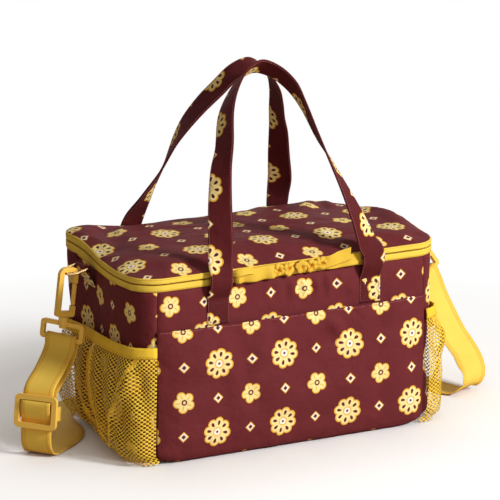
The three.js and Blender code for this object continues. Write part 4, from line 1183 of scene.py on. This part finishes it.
def lidTop():
    room = []
    stops = spread(0, 8, 240)[:-1]
    shares = [1.0, 0.997, 0.99, 0.98, 0.965] + spread(0.945, 0.02, lid["rings"])

    def shape(i, j):
        share = shares[j]
        rim = around(stops[i], mouth)
        x, y = rim.x * share, rim.y * share
        rise = lidRise(stops[i], x, y, share)
        room.append(rise - 0.1)
        z = lid["edge"] + lid["dome"] * (1 - share ** lid["power"]) + rise
        z -= 0.8 if share >= 1 else 0.0      # the edge is tucked in behind the tape
        z += mouthLift(x, y, bag["bandTop"]) * (0.2 + 0.8 * smooth((share - 0.8) / 0.17))
        spot = lifted(Vector((x, y, bag["bandTop"])))
        return Vector((spot.x, spot.y, z)) * mm, lidCut(x * mm, y * mm)
    piece = gridSheet("lidTop", len(stops), len(shares), shape, cloth, closed=True)

    def closeMiddle(work):
        work.verts.ensure_lookup_table()
        face = work.faces.new([work.verts[(i + 1) * len(shares) - 1] for i in range(len(stops))])
        layer = work.loops.layers.uv["cut"]
        for loop in face.loops:
            loop[layer].uv = lidCut(loop.vert.co.x, loop.vert.co.y)
        face.smooth = True
    faceOutwards(piece.data, closeMiddle)
    settle(piece, room, 3.0)
    thicken(piece, bag["panelThick"], -1)
    seat(piece, "lid", "bag_fabric", "lid_panel")


lidTop()
say("lid made")


# The fabric hinge between the body and the lid, bowed out a little
hinge = {
    "half": 119.5, "y": 110.2, "bulge": 0.35,
    "rows": [199.4, 202, 204.5, 206, 207, 208, 209, 210.5, 212.5, 214.4],
}


def fabricHinge():
    rows = hinge["rows"]
    xs = spread(-hinge["half"], hinge["half"], 60)

    def shape(i, j):
        bulge = hinge["bulge"] * math.sin(math.pi * (rows[j] - rows[0]) / (rows[-1] - rows[0]))
        return Vector((xs[i], hinge["y"] + bulge, rows[j])) * mm, (xs[i] * mm, rows[j] * mm)
    piece = gridSheet("fabricHinge", len(xs), len(rows), shape, plainCloth)
    thicken(piece, 1.0, 0)
    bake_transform(piece)
    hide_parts("hinge_strip", "lid_back_band")


fabricHinge()


# Mesh pockets: net cloth gathered into an elastic binding. Each fold down the net has the side that its
# hollow lies on and a height.
netPlan = {
    "front": 137.0, "back": 125.0, "foot": 7.0, "bulge": 20.0, "topOut": 6.0, "edgeOut": 0.5,
    "binding": 12.0, "bindingThick": 1.6, "sagFoot": 1.2, "sag": 15,
    "folds": ((1, 4.4), (-1, 4.0), (1, 3.2)),
}


def netTop(y):
    return netPlan["front"] + (netPlan["back"] - netPlan["front"]) * (y / bag["depth"] + 0.5)


def netOut(z, y):
    share = (z - netPlan["foot"]) / (netTop(y) - netPlan["foot"])
    ends = max(0, 1 - abs(y) / (bag["depth"] / 2)) / 0.2
    belly = netPlan["bulge"] * math.sin(math.pi * min(1, max(0, share)) ** 0.75)
    return netPlan["edgeOut"] + (belly + netPlan["topOut"] * share ** 2) * math.sqrt(min(1, ends))


# The gathers: folds that start narrow below the binding and lean towards the front foot
def gather(run, share, side, length):
    down = 1 - share
    lean = run if side < 0 else length - run
    shift = lean - 46 * down
    wave = math.sin(shift * 0.155) + 0.55 * math.sin(shift * 0.31 + 1.3 + 2.2 * down)
    wave += 0.4 * math.sin(lean * 0.062 + 0.6)
    return 2.4 * wave * smooth(share / 0.16) * smooth(down / 0.1)


# Each fold is a ridge with a hollow beside it
def netFolds(y, z):
    out = 0.0
    for place, (side, tall) in zip(foldPlaces(z, math.exp(-z / foldDecay)), netPlan["folds"]):
        off = (y - place) * side
        out += tall * (bell(off, 4.5) - 0.9 * bell(off - 11, 8))
    return out * smooth((z - 3) / 14)


# 1 at the front of the bag's side, 0 at its back
def frontShare(y):
    return smooth((60 - y) / 150)


def meshPocket(side):
    label, plan = sideName(side), netPlan
    node = f"{label}_side_panel"
    low, middle, high = (panelStops(node, z) for z in (70.0, 120.0, 130.0))
    rows = spread(0, 1, 50)

    # the outline is followed at 6 mm and above, so the net keeps clear of the rounded base
    def netPlace(i, z, y, extra):
        level = max(z, 6.0)
        k = panelStops(node, level)[i]
        place = around(k, level)
        place.z = z
        return place + outward(k, level) * (0.3 + netOut(max(z, 4.0), y) + extra)

    run = clothRun([netPlace(i, 70.0, around(k, 70.0).y, 0) for i, k in enumerate(low)])
    toSeam = [min(along, run[-1] - along) for along in run]

    # the net sags over the base near the front, where its cloth is longest
    def sheet(i, j):
        y = around(middle[i], 120.0).y
        top = netTop(y) - plan["binding"] + 1.5
        foot = 5.0 - (5.0 - plan["sagFoot"]) * frontShare(y)
        z = foot + (top - foot) * rows[j]
        sag = frontShare(y) * smooth((y + 111) / 12) * (plan["sag"] * bell(z - 4, 26))
        down = smooth((1 - rows[j]) / 0.12)
        loose = gather(run[i], rows[j], side, run[-1]) + netFolds(y, z) * down
        extra = loose * smooth(toSeam[i] / 22) + sag
        return netPlace(i, z, y, extra + 0.6) * mm, (run[i] * 1.08 * mm, rows[j] * 0.150)
    piece = gridSheet(f"{label}NetPocket", len(run), len(rows), sheet, net)
    seat(piece, "bag", "pocket_mesh", f"{label}_mesh_pocket")

    # the binding is 6 steps tall, rounded and a little ruffled
    def trim(i, j):
        y = around(high[i], 130.0).y
        z = netTop(y) - plan["binding"] + plan["binding"] * j / 6
        bead = 0.35 * math.sin(math.pi * j / 6)
        ruffle = 0.5 * math.sin(run[i] * 0.62) * smooth(toSeam[i] / 12)
        return netPlace(i, z, y, 1.0 + bead + ruffle) * mm, (j * 0.002, run[i] * mm)
    band = gridSheet(f"{label}PocketBinding", len(run), 7, trim, bindingCloth)
    thicken(band, plan["bindingThick"], 0)
    seat(band, "bag", "yellow_webbing", f"{label}_pocket_binding")
    line = []
    for i, k in list(enumerate(high))[1:-1]:
        y = around(k, 130.0).y
        z = netTop(y) - plan["binding"] + 2.2
        line.append((netPlace(i, z, y, 2.15) * mm, outward(k, z)))
    seat(stitchLine(f"{label}BindingStitches", [line], goldThread, (2.6, 1.0, 0.55, 0.45)), "bag")


meshPocket(-1)
meshPocket(1)
say("mesh pockets made")


# Handles: printed straps, sewn flat at their ends and bowed between. pivot, the depth and height where a
# handle starts to fold, is not used.
handle = {
    "wide": 28.0, "thick": 2.2, "spacing": 97.0, "reach": 207.0, "lidEdge": 214.5, "hinge": 207.5,
    "sweep": 228.0, "edgeStitch": 12.6, "boxHalf": 11, "boxFoot": 157.5,
    "front": {"facing": -1, "face": -112.3, "pivot": (-114, 183.0), "boxTop": 178.5, "cutAt": (0.014, 0.003)},
    "back": {"facing": 1, "face": 112.3, "pivot": (114, 178.0), "boxTop": 174.5, "cutAt": (-0.016, 0.041)},
}


# Where the front loop stands at height z: just outside the arc that the lid's edge sweeps as it opens
def outsideSweep(z, turn):
    radius = handle["sweep"] + handle["wide"] / 2 * math.sin(math.radians(turn))
    return 111 - math.sqrt(radius ** 2 - (z - handle["hinge"]) ** 2)


# Rows of height, depth, place across at left and right, and turn of the strap in degrees, as in the CAD
def handleRows(label):
    edge, spacing, face = handle["lidEdge"], handle["spacing"], handle[label]["face"]
    top = edge + handle["reach"]
    if label == "front":
        rows = [(z, face, -spacing, spacing, 0) for z in (154.8, 165, 178, 183.5)]
        rows += [(192, -116.9, -spacing, spacing, 0), (200.3, -120.5, -spacing, spacing, 0),
                 (edge, -120.8, -spacing, spacing, 0)]
        rows += [(edge + h, outsideSweep(edge + h, turn), left, right, turn) for h, left, right, turn in (
            (10, -97.5, 90.5, 12), (38, -97.5, 78.5, 30), (77, -94, 63, 46),
            (111, -85, 51, 57), (133, -74, 44.5, 65), (164, -58, 40.5, 73))]
        return rows + [(top - 23, -46, -42.5, 33, 85), (top - 7, -36, -23.5, 17, 92), (top, -31, -2, -2, 95)]
    top -= 4
    return [(z, face, -spacing, spacing, 0) for z in (155, 165, 174, 178.5, 186)] + [
        (198, 113.7, -96, 98, 0), (edge - 2, 114.3, -91, 103, 0), (edge + 18, 102, -90, 98, 5),
        (edge + 49, 76, -87, 86, 30), (edge + 80, 60, -76, 76, 50), (edge + 114, 47, -66, 68, 66),
        (edge + 134, 38, -57.5, 61, 76), (edge + 156, 27, -44, 54, 82), (top - 27, 15, -29, 43.5, 85),
        (top - 8, 5, -12.5, 25, 84), (top, -1, 6, 6, 78)]


# The middle line of a handle and the way its width points
def handlePath(rows, facing):
    course = [Vector((left, y, z)) for z, y, left, right, turn in rows]
    course += [Vector((right, y, z)) for z, y, left, right, turn in reversed(rows[:-1])]
    last = len(course) - 1
    tips = []
    for k, point in enumerate(course):
        row = min(k, last - k)
        (belowZ, belowY, *_), (aboveZ, aboveY, *_) = beside(rows, row)
        before, after = beside(course, k)
        along = after - before
        flat = along.cross(Vector((0, -1, (aboveY - belowY) / (aboveZ - belowZ)))).normalized()
        standing = flat.cross(along).normalized() * -facing
        turn = math.radians(rows[row][4])
        tips.append(point + (flat * math.cos(turn) + standing * math.sin(turn)) * handle["wide"] / 2)
    steps = spread(0, 1, last * 7)
    points = [catmull(course, t) for t in steps]
    return points, [catmull(tips, t) - point for t, point in zip(steps, points)]


# A row of stitches along both edges of both faces
def edgeStitches(places, widths):
    lines = []
    for side, over in ((-1, -1), (-1, 1), (1, -1), (1, 1)):
        line = []
        for i, place in enumerate(places):
            along, across = alongAcross(places, widths, i)
            face = across.cross(along) * over
            edge = across * side * handle["edgeStitch"] * mm
            line.append((place + edge + face * (handle["thick"] / 2 + 0.05) * mm, face))
        lines.append(line)
    return lines


# A crossed box of stitches at each sewn end
def boxStitches(plan):
    lines = []
    y, low, high = plan["face"] + 1.25 * plan["facing"], handle["boxFoot"], plan["boxTop"]
    normal = Vector((0, plan["facing"], 0))
    for middle in (-handle["spacing"], handle["spacing"]):
        west, east = middle - handle["boxHalf"], middle + handle["boxHalf"]
        corners = [Vector((x, y, z)) * mm for x, z in (
            (west, low), (east, low), (east, high), (west, high), (west, low), (east, high), (east, low),
            (west, high))]
        lines += [[(a, normal), (b, normal)] for a, b in zip(corners, corners[1:])]
    return lines


def carryHandle(label):
    plan, loop = handle[label], f"{label}_loop"
    points, widths = handlePath(handleRows(label), plan["facing"])
    places = [p * mm for p in points]
    wide, thick = handle["wide"] * mm, handle["thick"] * mm
    piece = bandMesh(f"{label}Handle", places, widths, wide, thick, handleCloth, 8, plan["cutAt"])
    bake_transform(piece)
    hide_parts(f"{label}_handle", f"{label}_handle_left_end", f"{label}_handle_right_end")
    seams = stitchLine(f"{label}HandleStitches", edgeStitches(places, widths), thread, (2.3, 0.8, 0.5, 0.35))
    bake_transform(seams)
    boxes = stitchLine(f"{label}HandleBoxStitches", boxStitches(plan), darkThread, (2.6, 0.9, 0.55, 0.45))
    seat(boxes, "bag")


carryHandle("front")
carryHandle("back")
say("handles made")


# D-rings: round wire, with a straight bar in the fabric tab
ringPlan = {"barX": 195.977, "barZ": 201.0, "y": 26.0, "wire": 1.5, "half": 14.0, "depth": 21.0, "tilt": 75.0,
            "facets": 14, "tabWide": 23.4, "tabThick": 1.2, "tabNear": 185.4}


def bezier(a, b, c, d, t):
    u = 1 - t
    return tuple(u ** 3 * a[n] + 3 * u * u * t * b[n] + 3 * u * t * t * c[n] + t ** 3 * d[n] for n in (0, 1))


# The ring's middle line as (y, z) from the middle of its bar
def ringPath():
    half, low = ringPlan["half"], -ringPlan["depth"]
    bow = [(half, low * 0.38), (half, low * 0.82), (half * 0.62, low), (0, low)]
    back = [(-y, z) for y, z in reversed(bow)]
    points = [(y, 0) for y in spread(-half, half, 10)]
    points += [(half, z) for z in spread(low * 0.1, low * 0.38, 3)]
    points += [bezier(*side, t) for side in (bow, back) for t in spread(0, 1, 14)[1:]]
    return points + [(-half, z) for z in spread(low * 0.3, low * 0.1, 2)]


def dRing(side):
    label, plan = sideName(side), ringPlan
    tilt, facets = math.radians(plan["tilt"]), plan["facets"]
    path = [Vector((side * (plan["barX"] - z * math.sin(tilt)), plan["y"] + y,
                    plan["barZ"] + z * math.cos(tilt))) for y, z in ringPath()]
    flat = Vector((side * math.cos(tilt), 0, math.sin(tilt)))
    verts = []
    for i, point in enumerate(path):
        along = (path[(i + 1) % len(path)] - path[i - 1]).normalized()
        across = along.cross(flat).normalized()
        for n in range(facets):
            a = 2 * math.pi * n / facets
            verts.append((point + (flat * math.cos(a) + across * math.sin(a)) * plan["wire"]) * mm)
    piece = makeMesh(f"{label}Ring", verts, tubeFaces(len(path), facets, closed=True), None, goldMetal)
    faceOutwards(piece.data)
    seat(piece, f"{label}_ring", "gold_metal", f"{label}_d_ring")


# A tab of handle cloth, doubled round the ring's bar and sewn to the bag's side
def ringTab(side):
    label, plan = sideName(side), ringPlan
    bar, z, near = plan["barX"], plan["barZ"], plan["tabNear"]
    loop = [(near, 178.3), (near + 1.6, 181), (near + 3.8, 186), (bar - 1, 194), (bar + 2.4, 198.6)]
    loop += [(bar + 2.75 * math.cos(a), z + 2.75 * math.sin(a)) for a in spread(-0.3, math.pi * 0.95, 8)]
    loop += [(bar - 4.5, 199.4), (near + 3.5, 195.6), (near + 0.6, 191.8)]
    points = [Vector((side * x, plan["y"], h)) * mm for x, h in loop]
    dense = [catmull(points, t) for t in spread(0, 1, 60)]
    widths = [Vector((0, 1, 0))] * len(dense)
    wide, thick = plan["tabWide"] * mm, plan["tabThick"] * mm
    piece = bandMesh(f"{label}RingTab", dense, widths, wide, thick, handleCloth, 6, (0.0, 0.07))
    seat(piece, "bag", "bag_fabric", f"{label}_ring_tab")


for side in (-1, 1):
    dRing(side)
    ringTab(side)
say("rings and tabs made")


# Ribbon pulls: a doubled ribbon tied in small gathered knots, then left flat. A pull starts at its tip beside
# the middle of the zip; lifts are how far its knots stand above the zip's line.
ribbon = {
    "back": -112.8, "pivot": -115.8, "z": 207.5, "knotLong": 15.6, "knotTall": 15.4, "knotDeep": 7.0,
    "pitch": 12.6, "thick": 0.7,
    "left": {"side": -1, "tip": -2.6, "lifts": (-0.6, 0.3), "seed": 5},
    "right": {"side": 1, "tip": -1.2, "lifts": (0.8, 0.2, 1.4), "seed": 15},
}

# Each tail: its width, how far it is drawn in at the knot, and a course of x, distance in front of the zip,
# height over it and tilt in degrees
tails = {
    "leftTailFront": (15.5, 0.3, (
        (-24, 2.4, 0, 0), (-31, 4.9, -0.2, 12), (-40, 2.8, -0.8, -6), (-54, 4.4, -1.2, 12),
        (-66, 3.0, -1.2, -8), (-73, 4.6, -1, 8), (-76.5, 2.2, -0.6, -6))),
    "leftTailBack": (15.0, 0.3, (
        (-24, 1.0, 0, 0), (-40, 1.3, -0.8, 4), (-60, 1.0, -1.8, 0), (-75.2, 0.9, -2.6, 0))),
    "leftTailFold": (8.0, 0.2, (
        (-79.5, 1.6, 1.4, 0), (-76, 5.4, 3.0, 16), (-70, 6.8, 4.4, 24), (-62, 5.6, 4.8, 18),
        (-55, 4.6, 3.6, 10))),
    "rightTailUpper": (14.5, 0.35, (
        (33, 2.4, 0.6, 0), (42, 4.6, 2.4, -8), (56, 3.2, 5.2, 4), (70, 4.0, 8.2, 0))),
    "rightTailLower": (13.0, 0.35, (
        (33, 1.2, 0, 0), (46, 2.0, -0.8, 8), (60, 1.2, -0.6, -4), (72, 2.2, 0.2, 6), (85, 1.4, 0.8, 0))),
}


# Ribbon drawn together: lobes that lap round a deep pit, with creases that run into it
def knotMesh(name, centre, seed, label):
    turns, rows = 60, 34
    picks = random.Random(seed)
    phase, twist = picks.uniform(0, 6), picks.uniform(0.7, 1.3)
    pitX, pitZ = picks.uniform(-1.6, 1.6), picks.uniform(-1.4, 1.4)
    wide, tall, deep = (ribbon[key] / 2 for key in ("knotLong", "knotTall", "knotDeep"))
    stop = ribbon[label]["tip"]

    def shape(i, j):
        a, b = 2 * math.pi * i / turns, math.pi * j / (rows - 1)
        lobe = abs(math.sin(a * 2.5 + twist * b + phase)) ** 0.7
        second = abs(math.sin(a * 1.5 - 1.9 * b + phase * 1.7)) ** 0.8
        size = 0.72 + 0.22 * lobe + 0.12 * second
        x = wide * size * math.sin(b) * math.cos(a)
        x = min(x, stop - centre.x) if label == "left" else max(x, stop - centre.x)
        z = tall * size * math.sin(b) * math.sin(a)
        off = math.hypot(x - pitX, z - pitZ)
        y = -deep * math.cos(b) * (0.9 + 0.2 * second)
        if b < math.pi * 0.6:
            y += 4.6 * bell(off, 2.2) + 1.5 * (1 - lobe) * bell(off - 3.4, 2.6)
        # the nearest knots are rounded off, so that one pull clears the other as it turns
        y = max(y, ribbon["pivot"] - 0.2 - 0.85 * math.sqrt(abs(x + centre.x - stop)) - centre.y)
        return (centre + Vector((x, y, z))) * mm, (j * 0.0011, i * 0.0009)
    piece = gridSheet(name, turns, rows, shape, ribbonCloth, closed=True)
    faceOutwards(piece.data)
    seat(piece, f"{label}_pull", "yellow_webbing")


# A flat length of ribbon, crumpled where it leaves the knot
def ribbonTail(name):
    wide, pinch, course = tails[name]
    places, tilts = [], []
    for x, forwards, up, tilt in course:
        places.append(Vector((x, ribbon["back"] - forwards, ribbon["z"] + up)))
        tilts.append(Vector((0, math.sin(math.radians(tilt)), math.cos(math.radians(tilt)))))
    steps, columns = 60, 9
    points = [catmull(places, t) for t in spread(0, 1, steps)]
    widths = [catmull(tilts, t).normalized() for t in spread(0, 1, steps)]
    run = clothRun(points)

    def shape(i, j):
        side = j / (columns - 1) * 2 - 1
        near = bell(i / steps, 0.1)
        half = wide / 2 * (1 - pinch * near)
        before, after = beside(points, i)
        face = widths[i].cross((after - before).normalized())
        crumple = 0.9 * near * math.sin(side * 7 + 1)
        crumple += 0.35 * soft(Vector((run[i], side * 6, wide)), 0.12, 31)
        bow = 0.5 * (1 - side * side)
        place = points[i] + widths[i] * half * side + face * (crumple + bow)
        return place * mm, (side * half * mm, run[i] * mm)
    piece = gridSheet(name, steps + 1, columns, shape, ribbonCloth)
    thicken(piece, ribbon["thick"], 0)
    return piece


def ribbonPulls():
    y = ribbon["back"] - ribbon["knotDeep"] / 2
    for label in ("left", "right"):
        pull = ribbon[label]
        for n, lift in enumerate(pull["lifts"]):
            x = pull["tip"] + pull["side"] * (ribbon["knotLong"] / 2) + pull["side"] * ribbon["pitch"] * n
            knotMesh(f"{label}Knot{n + 1}", Vector((x, y, ribbon["z"] + lift)), pull["seed"] + n, label)
    standIns = {"leftTailFront": ["left_pull_ribbon"], "rightTailUpper": ["right_pull_ribbon"]}
    for name in tails:
        label = "left" if name.startswith("left") else "right"
        seat(ribbonTail(name), f"{label}_pull", "yellow_webbing", *standIns.get(name, []))


ribbonPulls()


# Small puffed tabs of cloth beside the ends of the zip
zipTab = {"puff": 1.4, "gap": 0.3, "thick": 0.8, "across": 10, "up": 8}


def zipEndTabs():
    for side in (-1, 1):
        label = sideName(side)
        low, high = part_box(f"{label}_zip_end_tab")
        y0, y1, z0, z1 = low[1], high[1], low[2], high[2]
        inner = min(abs(low[0]), abs(high[0]))

        def shape(i, j):
            v, w = i / zipTab["across"], j / zipTab["up"]
            puff = zipTab["puff"] * mm * (1 - abs(2 * v - 1) ** 4) * (1 - abs(2 * w - 1) ** 4)
            x = side * (inner + zipTab["gap"] * mm + puff)
            return Vector((x, y0 + (y1 - y0) * v, z0 + (z1 - z0) * w)), ((y1 - y0) * v, (z1 - z0) * w)
        piece = gridSheet(f"{label}ZipEndTab", zipTab["across"] + 1, zipTab["up"] + 1, shape, plainCloth)
        thicken(piece, zipTab["thick"], -1)
        seat(piece, "bag", "bag_fabric", f"{label}_zip_end_tab")


zipEndTabs()
say("pulls and tabs made")


# Inner layers keep their CAD solids, with a better material
def dressInside():
    finishes = {"insulation_foam": foamFinish, "liner_film": linerFinish, "stiffening_board": boardFinish}
    for row in frame["record"]["subparts"]:
        if row["material_slot"] in finishes:
            materials = frame["nodes"][row["node"]].data.materials
            materials.clear()
            materials.append(finishes[row["material_slot"]])


dressInside()


# Studio: pale floor, one large soft lamp, a fill, one from above and behind, and a plain white surround that
# lights the bag a little and warmly. Places are in metres.
studio = {
    "floorHalf": 9.0, "floorDrop": 0.0004, "floorGlow": 0.3, "shadowReach": 0.15, "whiteFrom": 0.34,
    "floor": (0.9, 0.9, 0.9, 1), "bounce": (0.56, 0.47, 0.38, 1), "warm": (1, 0.84, 0.68, 1), "surround": 0.2,
    "lamps": {
        "keyLamp": {"place": (1.45, -2.75, 1.85), "target": (0, 0, 0.15), "size": 0.8, "power": 124.0},
        "fillLamp": {"place": (-0.8, -3.0, 0.9), "target": (0, 0, 0.15), "size": 1.6, "power": 11.5},
        "topLamp": {"place": (0.3, 1.4, 2.6), "target": (0, 0, 0.2), "size": 1.4, "power": 3.4},
    },
}
white = (1, 1, 1, 1)


def softLamp(name, place, target, size, power):
    data = bpy.data.lights.new(name, "AREA")
    data.shape = "DISK"
    data.size = size
    data.energy = power
    aim(addObject(name, data), place, target)


# The camera sees the floor with a painted shadow where the bag and the strap stand on it, and plain white
# further off;
# the bag is lit by it as by a floor of a warm grey
def floorFinish():
    finish = Finish("studioFloor")
    seen = finish.add("ShaderNodeLightPath", None, None, "Is Camera Ray")
    diffuse = finish.add("ShaderNodeBsdfDiffuse", None, {"Color": studio["floor"]})
    glow = finish.add("ShaderNodeEmission", None, {"Color": white, "Strength": studio["floorGlow"]})
    glowing = finish.add("ShaderNodeAddShader", None, [diffuse, glow])
    # painted shadow: the floor's glow fades out where the bag and the strap close it in
    near = finish.openness(studio["shadowReach"]) ** 1.4
    lit = finish.add("ShaderNodeMixShader", None, [near, diffuse, glowing])
    plain = finish.add("ShaderNodeEmission", None, {"Color": white, "Strength": 1.0})
    east = finish.add("ShaderNodeSeparateXYZ", None, [finish.place()])
    north = east.output(1)
    far = (east * east + north * north).math("SQRT")
    share = ((far - studio["whiteFrom"]) * 2.6).under(1.0).over(0)
    lit = finish.add("ShaderNodeMixShader", None, [share, lit, plain])
    bounce = finish.add("ShaderNodeBsdfDiffuse", None, {"Color": studio["bounce"]})
    surface = finish.add("ShaderNodeMixShader", None, [seen, bounce, lit])
    finish.add("ShaderNodeOutputMaterial", None, {"Surface": surface})
    return finish.owner


def surround():
    finish = Finish("surround", bpy.data.worlds)
    ray = finish.add("ShaderNodeLightPath", None, None, "Is Camera Ray")
    seen = ray.over(ray.output("Is Glossy Ray")).over(ray.output("Is Transmission Ray"))
    dim = finish.add("ShaderNodeBackground", None, {"Color": studio["warm"], "Strength": studio["surround"]})
    bright = finish.add("ShaderNodeBackground", None, {"Color": white, "Strength": 1.0})
    sky = finish.add("ShaderNodeMixShader", None, [seen, dim, bright])
    finish.add("ShaderNodeOutputWorld", None, {"Surface": sky})
    return finish.owner


def setStudio():
    size = studio["floorHalf"]
    corners = [(-size, -size, 0), (size, -size, 0), (size, size, 0), (-size, size, 0)]
    mesh = bpy.data.meshes.new("floor")
    mesh.from_pydata(corners, [], [(0, 1, 2, 3)])
    mesh.materials.append(floorFinish())
    floor = addObject("floor", mesh)
    floor.location.z = -studio["floorDrop"]
    bpy.context.scene.world = surround()
    for name, lamp in studio["lamps"].items():
        softLamp(name, **lamp)
    bpy.context.scene.view_settings.view_transform = "Standard"


setStudio()
say("studio set")
